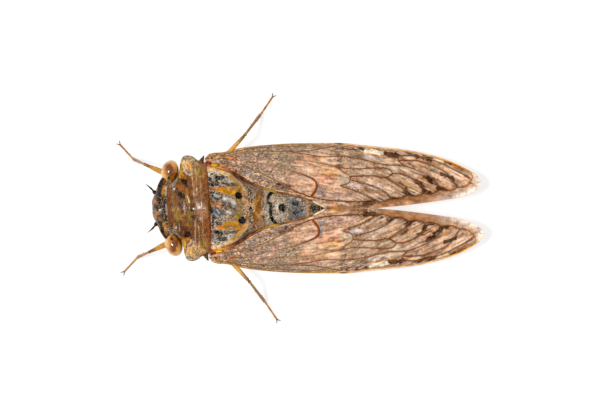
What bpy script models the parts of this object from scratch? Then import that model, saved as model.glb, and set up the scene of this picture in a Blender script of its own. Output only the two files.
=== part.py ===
"""A cicada at rest, wings folded back like a roof, as separate closed pieces.

Run it with blender --background --python part.py, or from the text editor.
The finished scene is in metres, +Z up. The head looks along -X, the wing tips
point along +X and the feet stand on Z = 0, so the animal's right is +Y.
Sizes in this file are in millimetres. The pieces are modelled at that scale,
symmetric about Y = 0, and the last step leans them a little and turns
millimetres into metres.
"""

import math

import bmesh
import bpy
from mathutils import Matrix, Vector
from mathutils.geometry import delaunay_2d_cdt

MM = 0.001
GAP = 0.3

# The whole specimen leans: its left side sits a little further back.
LEAN = 0.05
LEAN_REACH = 5.0

# Places along the body, front to back
HEAD_FRONT = -16.95
HEAD_REAR = -15.35
PRONOTUM_REAR = -10.62
MESONOTUM_FRONT = PRONOTUM_REAR + GAP
MESONOTUM_REAR = -4.2
ABDOMEN_FRONT = MESONOTUM_REAR + GAP
TIP_CUT = 1.45
ABDOMEN_END = 2.86
THORAX_FRONT = HEAD_REAR + GAP
THORAX_REAR = -4.5

# Heights of the split between the back plates and the thorax below them
PLATE_BOTTOM = 6.15
THORAX_TOP = PLATE_BOTTOM - GAP

# Eyes
EYE_CENTRE = Vector((-14.72, 4.2, 6.2))
EYE_RADII = (0.97, 1.31, 1.22)
EYE_TURN = math.radians(-18)

# Wings
WING_THICKNESS = 0.5
VEIN_HEIGHT = 0.2
VEIN_HALF_WIDTH = 0.24
HINDWING_VEIN_HEIGHT = 0.12
HINDWING_DROP = WING_THICKNESS + GAP + HINDWING_VEIN_HEIGHT + 0.05
MIDLINE_CLEARANCE = 0.17
VEIN_STEP = 1.25
OUTLINE_STEP = 0.8
MEMBRANE_STEP = 1.7
VEIN_CLEARANCE = 0.7

# Legs
SOLE_SINK = 0.09


def smooth_curve(pairs):
    """Return a function through (position, value) pairs that never overshoots them."""
    xs = [p[0] for p in pairs]
    ys = [p[1] for p in pairs]
    slopes = [(ys[i + 1] - ys[i]) / (xs[i + 1] - xs[i]) for i in range(len(xs) - 1)]
    tangents = [slopes[0]]
    for before, after in zip(slopes, slopes[1:]):
        tangents.append(0.0 if before * after <= 0 else 2 * before * after / (before + after))
    tangents.append(slopes[-1])

    def value(x):
        if x <= xs[0]:
            return ys[0]
        if x >= xs[-1]:
            return ys[-1]
        i = max(k for k in range(len(xs) - 1) if xs[k] <= x)
        h = xs[i + 1] - xs[i]
        t = (x - xs[i]) / h
        return (
            ys[i] * (1 + 2 * t) * (1 - t) ** 2
            + tangents[i] * h * t * (1 - t) ** 2
            + ys[i + 1] * t * t * (3 - 2 * t)
            + tangents[i + 1] * h * t * t * (t - 1)
        )

    return value


def spline_points(controls, step, closed=False):
    """Return points about a step apart on a Catmull-Rom spline through the controls."""
    pts = [Vector(c) for c in controls]
    count = len(pts)
    spans = count if closed else count - 1
    result = []
    for i in range(spans):
        b, c = pts[i], pts[(i + 1) % count]
        a = pts[i - 1] if closed or i > 0 else b
        d = pts[(i + 2) % count] if closed or i + 2 < count else c
        pieces = max(1, round((c - b).length / step))
        for k in range(pieces):
            t = k / pieces
            result.append(
                0.5
                * (
                    2 * b
                    + (c - a) * t
                    + (2 * a - 5 * b + 4 * c - d) * t * t
                    + (3 * b - a - 3 * c + d) * t ** 3
                )
            )
    if not closed:
        result.append(pts[-1])
    return result


def link(name, mesh, collection):
    """Make an object from a mesh and link it to a collection."""
    piece = bpy.data.objects.new(name, mesh)
    collection.objects.link(piece)
    return piece


def mesh_from_bmesh(name, bm):
    """Write a bmesh to a new mesh with its faces turned outwards."""
    bmesh.ops.recalc_face_normals(bm, faces=bm.faces)
    mesh = bpy.data.meshes.new(name)
    bm.to_mesh(mesh)
    bm.free()
    return mesh


def evaluated_mesh(piece):
    """Return the mesh of an object with its modifiers or its bevel applied."""
    depsgraph = bpy.context.evaluated_depsgraph_get()
    return bpy.data.meshes.new_from_object(piece.evaluated_get(depsgraph))


def loft(name, rings, collection):
    """Skin closed rings of equal point count, with ends of upright strips."""
    bm = bmesh.new()
    loops = [[bm.verts.new(p) for p in ring] for ring in rings]
    for front, back in zip(loops, loops[1:]):
        for i, corner in enumerate(front):
            j = (i + 1) % len(front)
            bm.faces.new((corner, front[j], back[j], back[i]))
    for end in (loops[0], loops[-1]):
        count = len(end)
        for k in range(count // 2):
            strip = [end[k], end[k + 1], end[count - k - 1], end[(count - k) % count]]
            bm.faces.new(list(dict.fromkeys(strip)))
    return link(name, mesh_from_bmesh(name, bm), collection)


def section(x, half_width, top, belt, bottom, sides, power=2.0, bow=None):
    """Return one ring across the body, half an ellipse above the belt and half below.

    bow, where given, moves each point along X by its distance from the middle.
    """
    ring = []
    for k in range(sides):
        angle = 2 * math.pi * k / sides
        c, s = math.cos(angle), math.sin(angle)
        y = half_width * math.copysign(abs(c) ** (2 / power), c)
        rise = top - belt if s > 0 else belt - bottom
        z = belt + rise * math.copysign(abs(s) ** (2 / power), s)
        ring.append((x + (bow(abs(y)) if bow else 0.0), y, z))
    return ring


def ellipsoid(name, centre, radii, turn, collection, segments=20, rings=12):
    """Make an ellipsoid turned about Z."""
    bm = bmesh.new()
    bmesh.ops.create_uvsphere(bm, u_segments=segments, v_segments=rings, radius=1.0)
    place = Matrix.Translation(centre) @ Matrix.Rotation(turn, 4, "Z")
    bmesh.ops.transform(bm, matrix=place @ Matrix.Diagonal((*radii, 1.0)), verts=bm.verts)
    return link(name, mesh_from_bmesh(name, bm), collection)


def tube(name, points, radii, collection, sides=8):
    """Make a closed round tube through points with a radius at each of them."""
    curve = bpy.data.curves.new(name, "CURVE")
    curve.dimensions = "3D"
    curve.bevel_depth = 1.0
    curve.bevel_resolution = sides // 2 - 2
    curve.use_fill_caps = True
    spline = curve.splines.new("POLY")
    spline.points.add(len(points) - 1)
    for knot, point, radius in zip(spline.points, points, radii):
        knot.co = (*point, 1.0)
        knot.radius = radius
    wire = bpy.data.objects.new(name + "_line", curve)
    bpy.context.scene.collection.objects.link(wire)
    mesh = evaluated_mesh(wire)
    bpy.data.objects.remove(wire)
    bm = bmesh.new()
    bm.from_mesh(mesh)
    bpy.data.meshes.remove(mesh)
    bmesh.ops.remove_doubles(bm, verts=bm.verts, dist=1e-4)
    return link(name, mesh_from_bmesh(name, bm), collection)


def keep_largest(mesh):
    """Delete every closed surface of a mesh except the one with most faces."""
    bm = bmesh.new()
    bm.from_mesh(mesh)
    unseen = set(bm.verts)
    islands = []
    while unseen:
        stack = [unseen.pop()]
        island = set(stack)
        while stack:
            for edge in stack.pop().link_edges:
                for vert in edge.verts:
                    if vert in unseen:
                        unseen.discard(vert)
                        island.add(vert)
                        stack.append(vert)
        islands.append(island)
    islands.sort(key=len)
    for island in islands[:-1]:
        bmesh.ops.delete(bm, geom=list(island), context="VERTS")
    bm.to_mesh(mesh)
    bm.free()


def boolean(body, others, operation):
    """Join other closed pieces to a body, or cut them out of it, and remove them."""
    helpers = bpy.data.collections.new(body.name + "_helpers")
    bpy.context.scene.collection.children.link(helpers)
    for other in others:
        for owner in list(other.users_collection):
            owner.objects.unlink(other)
        helpers.objects.link(other)
    modifier = body.modifiers.new(operation.lower(), "BOOLEAN")
    modifier.operation = operation
    modifier.operand_type = "COLLECTION"
    modifier.collection = helpers
    modifier.solver = "EXACT"
    mesh = evaluated_mesh(body)
    body.modifiers.clear()
    body.data = mesh
    keep_largest(mesh)
    for other in others:
        bpy.data.objects.remove(other)
    bpy.data.collections.remove(helpers)


def cut_below_floor(piece):
    """Cut a piece off at Z = 0 and close it, which leaves flat soles at one level."""
    bm = bmesh.new()
    bm.from_mesh(piece.data)
    geometry = list(bm.verts) + list(bm.edges) + list(bm.faces)
    cut = bmesh.ops.bisect_plane(bm, geom=geometry, plane_co=(0, 0, 0), plane_no=(0, 0, 1), clear_inner=True)
    rim = [item for item in cut["geom_cut"] if isinstance(item, bmesh.types.BMEdge)]
    bmesh.ops.holes_fill(bm, edges=rim)
    bmesh.ops.recalc_face_normals(bm, faces=bm.faces)
    bm.to_mesh(piece.data)
    bm.free()


def mirrored(piece, name):
    """Copy a piece to the animal's other side."""
    bm = bmesh.new()
    bm.from_mesh(piece.data)
    bmesh.ops.scale(bm, vec=(1, -1, 1), verts=bm.verts)
    bmesh.ops.reverse_faces(bm, faces=bm.faces)
    mesh = bpy.data.meshes.new(name)
    bm.to_mesh(mesh)
    bm.free()
    return link(name, mesh, piece.users_collection[0])


# The line across the body where the head meets the first plate: straight in
# the middle, then back round the eyes
NECK_BOW = smooth_curve([(0, 0), (2.4, 0.1), (3.3, 0.9), (4.2, 1.55), (5.2, 1.65), (6.0, 1.7)])


def bowed(share):
    """Return a share of the neck's bow, as a function of the distance from the middle."""
    return lambda y: share * NECK_BOW(y)


def make_head(collection, sockets):
    """Make the short wide head with its swollen face, and cut its sockets."""
    stations = (
        # x, share of the neck's bow, half width, top, bottom
        (HEAD_REAR, 1.0, 3.8, 7.95, 3.5),
        (-15.7, 0.9, 3.85, 8.0, 3.2),
        (-16.05, 0.6, 2.95, 7.85, 3.1),
        (-16.45, 0.2, 2.1, 7.45, 3.4),
        (-16.75, 0.0, 1.35, 6.9, 4.1),
        (HEAD_FRONT, 0.0, 0.7, 6.2, 4.9),
    )
    rings = []
    for x, share, half_width, top, bottom in stations:
        belt = 0.55 * top + 0.45 * bottom
        rings.append(section(x, half_width, top, belt, bottom, 26, bow=bowed(share)))
    head = loft("head", rings, collection)
    face = ellipsoid("face", (-16.2, 0, 5.0), (0.8, 1.75, 2.05), 0, collection)
    snout = ellipsoid("snout", (-16.0, 0, 3.05), (0.6, 0.85, 0.85), 0, collection, 16, 10)
    pieces = [face, snout]
    for x, y in ((-16.05, 0), (-15.6, 0.42), (-15.6, -0.42)):
        pieces.append(ellipsoid("ocellus", (x, y, 7.88), (0.24, 0.24, 0.24), 0, collection, 10, 8))
    for side in (1, -1):
        centre = (-15.95, side * 2.3, 6.6)
        pieces.append(ellipsoid("ledge", centre, (0.42, 0.85, 0.42), side * -0.55, collection, 14, 8))
    boolean(head, pieces, "UNION")
    boolean(head, sockets, "DIFFERENCE")
    return head


def make_eye(side, grow, name, collection):
    """Make one compound eye, or with grow above 0 the cutter of its socket."""
    centre = Vector((EYE_CENTRE.x, side * EYE_CENTRE.y, EYE_CENTRE.z))
    radii = [radius + grow for radius in EYE_RADII]
    return ellipsoid(name, centre, radii, side * EYE_TURN, collection, 22, 14)


ANTENNA_LINE = (
    ((-16.35, 1.55, 5.9), 0.3),
    ((-16.75, 1.98, 5.95), 0.3),
    ((-16.95, 2.2, 5.95), 0.26),
    ((-17.25, 2.48, 5.85), 0.2),
    ((-17.65, 2.8, 5.6), 0.1),
)
ROSTRUM_LINE = (
    ((-15.6, 0, 2.75), 0.42),
    ((-15.1, 0, 2.15), 0.44),
    ((-13.8, 0, 1.75), 0.4),
    ((-11.0, 0, 1.6), 0.34),
    ((-8.4, 0, 1.6), 0.28),
    ((-7.5, 0, 1.6), 0.16),
)


def limb(line, name, collection, grow=0.0, sides=8):
    """Make a tapering tube from ((x, y, z), radius) stations, or a wider cutter of it."""
    points = [Vector(point) for point, radius in line]
    radii = [radius + grow for point, radius in line]
    if grow:
        points[0] = points[0] + (points[0] - points[1]).normalized() * grow
    return tube(name, points, radii, collection, sides)


def opposite(line):
    """Mirror a line of stations to the other side."""
    return [((x, -y, z), radius) for (x, y, z), radius in line]


def make_pronotum(collection, sockets):
    """Make the first back plate, with its flared sides and its raised collar."""
    stations = (
        # x, share of the neck's bow, half width, top
        (HEAD_REAR + GAP, 1.0, 5.25, 7.9),
        (-14.8, 0.95, 5.9, 8.12),
        (-14.2, 0.82, 6.03, 8.4),
        (-13.3, 0.6, 6.0, 8.65),
        (-12.5, 0.3, 5.95, 8.7),
        (-12.15, 0.15, 5.9, 8.55),
        (-11.85, 0.05, 5.88, 8.75),
        (-11.1, 0.0, 5.85, 8.87),
        (-10.8, 0.0, 5.75, 8.77),
        (PRONOTUM_REAR, 0.0, 5.5, 8.5),
    )
    rings = []
    for x, share, half_width, top in stations:
        rings.append(section(x, half_width, top, 6.5, PLATE_BOTTOM, 28, 1.75, bowed(share)))
    plate = loft("pronotum", rings, collection)
    boolean(plate, sockets, "DIFFERENCE")
    return plate


def make_mesonotum(collection):
    """Make the domed second back plate with the raised cross at its rear."""
    width = smooth_curve([
        (-10.32, 4.3), (-9.8, 4.4), (-8.8, 4.1), (-7.8, 3.65), (-7.0, 3.05),
        (-6.3, 2.7), (-5.2, 2.3), (-4.2, 1.9),
    ])
    top = smooth_curve([
        (-10.32, 8.5), (-9.8, 9.0), (-8.6, 9.3), (-7.3, 9.05), (-6.4, 8.45), (-5.2, 8.3), (-4.2, 8.1),
    ])
    rings = []
    count = 15
    for k in range(count):
        x = MESONOTUM_FRONT + (MESONOTUM_REAR - MESONOTUM_FRONT) * k / (count - 1)
        rings.append(section(x, width(x), top(x), 6.6, PLATE_BOTTOM, 28))
    plate = loft("mesonotum", rings, collection)
    arms = []
    for side in (1, -1):
        line = (
            ((-6.35, side * 1.0, 8.15), 0.3),
            ((-5.35, side * 0.12, 8.32), 0.42),
            ((-4.5, side * 1.35, 7.75), 0.3),
        )
        arms.append(limb(line, "arm", collection))
    boolean(plate, arms, "UNION")
    return plate


def make_thorax(collection, sockets):
    """Make the underside of the thorax, and cut the sockets of the legs and the beak."""
    width = smooth_curve([(-15.05, 2.7), (-13.5, 3.7), (-11.5, 4.2), (-9.0, 4.3), (-7.0, 4.0), (-4.5, 3.4)])
    bottom = smooth_curve([(-15.05, 3.4), (-14.0, 2.7), (-12.0, 2.35), (-7.0, 2.3), (-4.5, 2.5)])
    rings = []
    count = 10
    for k in range(count):
        x = THORAX_FRONT + (THORAX_REAR - THORAX_FRONT) * k / (count - 1)
        share = max(0.0, 1 - k / 3)
        rings.append(section(x, width(x), THORAX_TOP, 4.9, bottom(x), 24, 2.4, bowed(share)))
    body = loft("thorax_underside", rings, collection)
    boolean(body, sockets, "DIFFERENCE")
    return body


ABDOMEN_WIDTH = smooth_curve([
    (-3.9, 3.4), (-2.5, 3.65), (-1.0, 3.35), (0.5, 2.6), (1.7, 1.7), (2.5, 0.9), (2.86, 0.3),
])
ABDOMEN_TOP = smooth_curve([(-3.9, 7.85), (-2.5, 7.9), (-1.0, 7.6), (0.5, 6.85), (1.7, 6.0), (2.86, 4.9)])
ABDOMEN_BOTTOM = smooth_curve([(-3.9, 2.6), (-1.0, 2.5), (1.0, 3.0), (2.2, 3.8), (2.86, 4.4)])


def make_abdomen(name, start, end, rings_of_body, collection):
    """Make a length of the abdomen from overlapping rings, each flared at its rear edge."""
    rings = []
    for k in range(rings_of_body):
        front = start + (end - start) * k / rings_of_body
        back = start + (end - start) * (k + 1) / rings_of_body
        for x, flare in ((front + 0.06, 0.965), (0.4 * front + 0.6 * back, 1.01), (back - 0.02, 1.0)):
            if k == 0 and flare == 0.965:
                x = front
            if k == rings_of_body - 1 and flare == 1.0:
                x = back
            belt = 0.5 * (ABDOMEN_TOP(x) + ABDOMEN_BOTTOM(x)) - 0.2
            rise = (ABDOMEN_TOP(x) - belt) * flare
            drop = (belt - ABDOMEN_BOTTOM(x)) * flare
            rings.append(section(x, ABDOMEN_WIDTH(x) * flare, belt + rise, belt, belt - drop, 24))
    return loft(name, rings, collection)


def make_operculum(collection):
    """Make the flat flap under the base of the abdomen, on the animal's right."""
    curve = bpy.data.curves.new("operculum", "CURVE")
    curve.dimensions = "2D"
    curve.fill_mode = "BOTH"
    curve.extrude = 0.25
    curve.resolution_u = 4
    spline = curve.splines.new("BEZIER")
    outline = ((-4.2, 0.35), (-2.9, 0.6), (-2.35, 1.8), (-2.9, 2.9), (-4.2, 2.95))
    spline.bezier_points.add(len(outline) - 1)
    spline.use_cyclic_u = True
    for knot, (x, y) in zip(spline.bezier_points, outline):
        knot.co = (x, y, 0)
        knot.handle_left_type = "AUTO"
        knot.handle_right_type = "AUTO"
    flap = bpy.data.objects.new("operculum_line", curve)
    bpy.context.scene.collection.objects.link(flap)
    flap.location = (0, 0, 1.95)
    bpy.context.view_layer.update()
    mesh = evaluated_mesh(flap)
    mesh.transform(flap.matrix_world)
    bpy.data.objects.remove(flap)
    bm = bmesh.new()
    bm.from_mesh(mesh)
    bpy.data.meshes.remove(mesh)
    bmesh.ops.remove_doubles(bm, verts=bm.verts, dist=1e-4)
    return link("operculum_right", mesh_from_bmesh("operculum_right", bm), collection)


# Each leg: socket, hip, knee, ankle and toe in the body's right half
LEGS = {
    "front": (
        (-13.0, 2.0, 3.3), (-13.7, 3.25, 2.1), (-17.55, 4.98, 4.2), (-19.05, 5.63, 0.6), (-20.6, 7.3, 0.0),
    ),
    "mid": ((-10.2, 2.2, 3.2), (-10.3, 3.9, 1.95), (-6.25, 8.3, 3.9), (-4.4, 10.8, 0.62), (-3.05, 12.8, 0.0)),
    "hind": ((-6.4, 1.7, 3.2), (-5.9, 2.9, 1.95), (-3.0, 5.2, 3.1), (1.4, 5.75, 0.6), (3.9, 6.0, 0.0)),
}
THIGH_RADIUS = {"front": 0.42, "mid": 0.36, "hind": 0.36}
SHIN_RADIUS = 0.27
FOOT_RADIUS = 0.24
COXA_RADIUS = 0.5


def bend(before, corner, after, reach):
    """Return three points that round a corner between two straight runs."""
    entry = corner + (before - corner).normalized() * reach
    leave = corner + (after - corner).normalized() * reach
    return [entry, 0.25 * entry + 0.5 * corner + 0.25 * leave, leave]


def leg_line(pair):
    """Return the stations of one leg from its socket to the end of its foot."""
    socket, hip, knee, ankle, toe = (Vector(p) for p in LEGS[pair])
    thigh = THIGH_RADIUS[pair]
    sole = FOOT_RADIUS - SOLE_SINK
    heel = ankle.lerp(toe, 0.22)
    heel.z = sole + 0.06
    toe.z = sole
    mid_foot = heel.lerp(toe, 0.5)
    mid_foot.z = sole
    line = [(socket, COXA_RADIUS)]
    for point, radius in zip(bend(socket, hip, knee, 0.5), (COXA_RADIUS, 0.46, 0.36)):
        line.append((point, radius))
    for share, radius in ((0.35, thigh), (0.65, thigh * 0.97)):
        line.append((hip.lerp(knee, share), radius))
    for point, radius in zip(bend(hip, knee, ankle, 0.32), (0.3, 0.32, 0.26)):
        line.append((point, radius))
    for share, radius in ((0.35, SHIN_RADIUS - 0.02), (0.75, SHIN_RADIUS)):
        line.append((knee.lerp(ankle, share), radius))
    for point, radius in zip(bend(knee, ankle, heel, 0.2), (SHIN_RADIUS, 0.26, 0.24)):
        line.append((point, radius))
    line.append((heel, FOOT_RADIUS))
    line.append((mid_foot, FOOT_RADIUS))
    line.append((toe, FOOT_RADIUS))
    return line


def make_leg(pair, collection):
    """Make one right leg: a tube from hip to foot, with two claws fused to its end."""
    line = leg_line(pair)
    leg = limb(line, "leg_" + pair + "_right", collection)
    toe = line[-1][0]
    forward = (toe - line[-2][0]).normalized()
    across = forward.cross(Vector((0, 0, 1))).normalized()
    claws = []
    for side in (1, -1):
        root = toe - forward * 0.15
        middle = toe + forward * 0.12 + across * side * 0.14 + Vector((0, 0, 0.03))
        tip = toe + forward * 0.38 + across * side * 0.3 - Vector((0, 0, 0.03))
        claws.append(tube("claw", [root, middle, tip], [0.12, 0.11, 0.05], collection, 6))
    boolean(leg, claws, "UNION")
    cut_below_floor(leg)
    return leg


# The folded forewing seen from above, on the animal's right
RIDGE_HEIGHT = smooth_curve([
    (-10.5, 7.55), (-7.8, 8.45), (-5.0, 9.0), (-3.3, 9.1), (0, 8.95), (3, 8.4), (10, 6.5), (20.8, 3.3),
])
MARGIN_HEIGHT = smooth_curve([(-10.5, 6.4), (-8.0, 5.3), (-5.0, 3.9), (-2.0, 3.0), (5.0, 2.55), (20.8, 2.3)])
MARGIN_REACH = smooth_curve([
    (-10.5, 6.15), (-8.8, 6.4), (-5.6, 7.15), (0, 7.55), (4.1, 7.6), (11.5, 6.9), (17.8, 5.4), (20.8, 4.3),
])
FOREWING_OUTLINE = (
    (-10.3, 4.95), (-10.3, 5.75), (-9.8, 6.27), (-8.8, 6.3), (-6.7, 6.82), (-3.3, 7.22), (0.14, 7.39),
    (4.14, 7.43), (7.6, 7.11), (11.6, 6.71), (15.0, 6.08), (17.9, 5.11), (20.1, 3.92), (20.74, 3.15),
    (20.6, 2.5), (20.2, 2.12), (18.3, 1.28), (14.8, 0.71), (11.3, 0.27), (8.5, MIDLINE_CLEARANCE),
    (3.0, MIDLINE_CLEARANCE), (1.1, 0.95), (-0.95, 1.52), (-3.2, 1.97), (-5.1, 2.65), (-6.2, 3.2),
    (-7.8, 4.17), (-9.6, 4.7),
)
FOREWING_VEINS = {
    "costa": ((-9.8, 6.0), (-7.9, 6.3), (-5.6, 6.8), (-2.7, 7.0), (0.7, 7.1), (4.2, 7.15)),
    "subcosta": ((-9.8, 5.5), (-8.4, 5.9), (-6.7, 6.3), (-4.4, 6.5), (-1.6, 6.5), (1.3, 6.6), (4.2, 7.15)),
    "radius": ((-1.6, 6.5), (0.7, 6.2), (2.6, 5.9), (5.3, 5.9), (7.6, 5.5), (9.7, 5.0), (11.9, 4.9)),
    "radius_cross": ((11.9, 4.9), (11.4, 5.5), (11.3, 6.0)),
    "media": (
        (-8.6, 5.4), (-5.6, 5.5), (-2.1, 5.5), (1.0, 5.4), (4.1, 4.8), (6.1, 4.5), (9.8, 4.6), (10.7, 4.0),
    ),
    "claval": ((-9.8, 5.0), (-8.5, 4.75), (-6.8, 4.4), (-5.1, 3.9), (-3.6, 3.2), (-1.9, 2.3), (1.2, 1.3)),
    "basal_loop": ((-4.2, 5.1), (-2.2, 4.6), (-0.4, 4.1), (1.4, 3.4), (1.9, 2.8), (1.8, 2.1), (1.2, 1.3)),
    "middle_loop": ((4.1, 4.8), (5.1, 4.1), (5.75, 3.6), (5.6, 2.9), (4.6, 2.6)),
    "fork": ((10.7, 4.0), (9.8, 3.5), (8.3, 3.7), (5.75, 3.6)),
    "apical_1": ((10.7, 4.0), (12.1, 3.8), (13.1, 3.2), (14.0, 2.5), (14.1, 1.7)),
    "apical_2": ((11.9, 4.9), (13.1, 4.5), (14.5, 3.9), (15.5, 3.1), (16.0, 2.1)),
    "apical_3": ((11.4, 5.5), (13.8, 5.4), (15.7, 4.7), (17.0, 3.9), (18.1, 2.3)),
    "apical_4": ((11.3, 6.0), (13.4, 6.0), (15.7, 5.4), (17.8, 4.4), (19.5, 3.5)),
    "apical_5": ((9.8, 3.5), (10.9, 2.8), (11.9, 2.2), (12.3, 1.5)),
    "apical_6": ((5.9, 3.2), (8.0, 2.6), (9.6, 1.9), (10.3, 1.1)),
    "apical_7": ((4.6, 2.6), (5.9, 2.1), (7.2, 1.6), (8.5, 0.85)),
    "border": ((19.5, 3.5), (19.1, 2.6), (16.0, 2.1), (14.1, 1.7), (12.3, 1.5), (10.3, 1.1), (8.5, 0.85)),
    "anal": ((1.2, 1.3), (2.8, 0.95), (4.7, 0.8), (6.8, 0.75), (8.5, 0.85)),
}
HINDWING_OUTLINE = (
    (-8.3, 4.75), (-7.6, 5.3), (-5.0, 5.9), (-1.5, 6.25), (1.5, 6.15), (3.3, 5.6), (4.2, 4.4),
    (3.6, 3.2), (1.6, 3.5), (-0.6, 4.5), (-3.0, 4.95), (-5.0, 4.8), (-6.6, 4.1), (-7.8, 4.2),
)
HINDWING_VEINS = {
    "front": ((-7.5, 5.0), (-5.0, 5.55), (-1.5, 5.9), (1.5, 5.8), (3.0, 5.2)),
    "middle": ((-5.0, 5.2), (-1.5, 5.3), (1.5, 4.9), (3.2, 4.1)),
}


def roof(x, y):
    """Return the height of the wings' roof over a place seen from above."""
    share = min(abs(y) / MARGIN_REACH(x), 1.0)
    arch = 0.2 * (1 - share) + 0.8 * math.sqrt(1 - share * share * 0.985)
    return MARGIN_HEIGHT(x) + (RIDGE_HEIGHT(x) - MARGIN_HEIGHT(x)) * arch


def roof_normal(x, y):
    """Return the roof's outward direction at a place."""
    step = 0.05
    dx = (roof(x + step, y) - roof(x - step, y)) / (2 * step)
    dy = (roof(x, y + step) - roof(x, y - step)) / (2 * step)
    return Vector((-dx, -dy, 1)).normalized()


def distance_to_line(point, line):
    """Return how far a flat point is from the nearest run of a line."""
    best = math.inf
    for a, b in zip(line, line[1:]):
        run = b - a
        share = max(0.0, min(1.0, (point - a).dot(run) / run.length_squared))
        best = min(best, (point - a - run * share).length)
    return best


def wing_triangles(outline, veins):
    """Split a wing seen from above into triangles that follow its veins.

    Each vein gives three lines, its crest and its two edges.
    """
    points = spline_points(outline, OUTLINE_STEP, closed=True)
    points.reverse()
    border = list(range(len(points)))
    edges = []
    for line in veins:
        for offset in (0.0, VEIN_HALF_WIDTH, -VEIN_HALF_WIDTH):
            first = len(points)
            for i, place in enumerate(line):
                run = line[min(i + 1, len(line) - 1)] - line[max(i - 1, 0)]
                side = Vector((-run.y, run.x)).normalized()
                points.append(place + side * offset)
            edges += [(k, k + 1) for k in range(first, len(points) - 1)]
    reach = [min(p[0] for p in outline), max(p[0] for p in outline), max(p[1] for p in outline)]
    rows = int(reach[2] / MEMBRANE_STEP) + 1
    columns = int((reach[1] - reach[0]) / MEMBRANE_STEP) + 1
    for row in range(rows):
        for column in range(columns):
            x = reach[0] + (column + 0.5 * (row % 2)) * MEMBRANE_STEP
            place = Vector((x, (row + 0.5) * MEMBRANE_STEP))
            if min(distance_to_line(place, line) for line in veins) > VEIN_CLEARANCE:
                points.append(place)
    verts, _, faces, _, _, owners = delaunay_2d_cdt(points, edges, [border], 1, 0.04)
    triangles = [face for face, owner in zip(faces, owners) if owner]
    return verts, triangles


def make_wing(name, outline, vein_table, vein_height, drop, collection):
    """Make a folded wing whose veins are ridges raised in its upper face.

    Both faces are split alike, and drop is the depth of the wing's upper face
    under the roof.
    """
    veins = [spline_points(line, VEIN_STEP) for line in vein_table.values()]
    places, triangles = wing_triangles(outline, veins)
    used = sorted({index for triangle in triangles for index in triangle})
    bm = bmesh.new()
    upper = {}
    lower = {}
    for index in used:
        place = places[index]
        normal = roof_normal(place.x, place.y)
        skin = Vector((place.x, place.y, roof(place.x, place.y))) - normal * drop
        nearness = 1 - min(distance_to_line(place, line) for line in veins) / VEIN_HALF_WIDTH
        upper[index] = bm.verts.new(skin + normal * vein_height * max(0.0, nearness))
        lower[index] = bm.verts.new(skin - normal * WING_THICKNESS)
    for a, b, c in triangles:
        bm.faces.new((upper[a], upper[b], upper[c]))
        bm.faces.new((lower[c], lower[b], lower[a]))
    partner = {upper[i]: lower[i] for i in used}
    rim = [edge for edge in bm.edges if edge.is_boundary and edge.verts[0] in partner]
    for edge in rim:
        a, b = edge.verts
        bm.faces.new((a, b, partner[b], partner[a]))
    bmesh.ops.triangulate(bm, faces=[face for face in bm.faces if len(face.verts) > 3])
    return link(name, mesh_from_bmesh(name, bm), collection)


MATERIALS = {
    # colour, roughness
    "head": ((0.12, 0.07, 0.025), 0.4),
    "eye": ((0.35, 0.16, 0.04), 0.12),
    "antenna": ((0.015, 0.012, 0.01), 0.4),
    "rostrum": ((0.2, 0.1, 0.03), 0.35),
    "pronotum": ((0.18, 0.1, 0.03), 0.4),
    "mesonotum": ((0.25, 0.2, 0.1), 0.45),
    "thorax": ((0.3, 0.2, 0.1), 0.5),
    "abdomen": ((0.25, 0.22, 0.18), 0.5),
    "operculum": ((0.4, 0.28, 0.12), 0.45),
    "leg": ((0.42, 0.24, 0.07), 0.4),
    "forewing": ((0.36, 0.22, 0.14), 0.45),
    "hindwing": ((0.3, 0.16, 0.06), 0.4),
}


def make_material(name):
    """Make the plain material of one kind of piece."""
    colour, roughness = MATERIALS[name]
    material = bpy.data.materials.new(name)
    material.use_nodes = True
    shader = material.node_tree.nodes["Principled BSDF"]
    shader.inputs["Base Color"].default_value = (*colour, 1.0)
    shader.inputs["Roughness"].default_value = roughness
    shader.inputs["Metallic"].default_value = 0.0
    return material


def finish(collection):
    """Lean every piece, turn millimetres into metres, and give it its material."""
    for piece in collection.objects:
        for vert in piece.data.vertices:
            reach = max(-LEAN_REACH, min(LEAN_REACH, vert.co.y))
            vert.co.x -= LEAN * reach
            vert.co *= MM
        kind = next(key for key in MATERIALS if key in piece.name)
        piece.data.materials.clear()
        piece.data.materials.append(make_material(kind))
        piece.data.shade_smooth()
        piece.data.set_sharp_from_angle(angle=math.radians(40))


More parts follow.
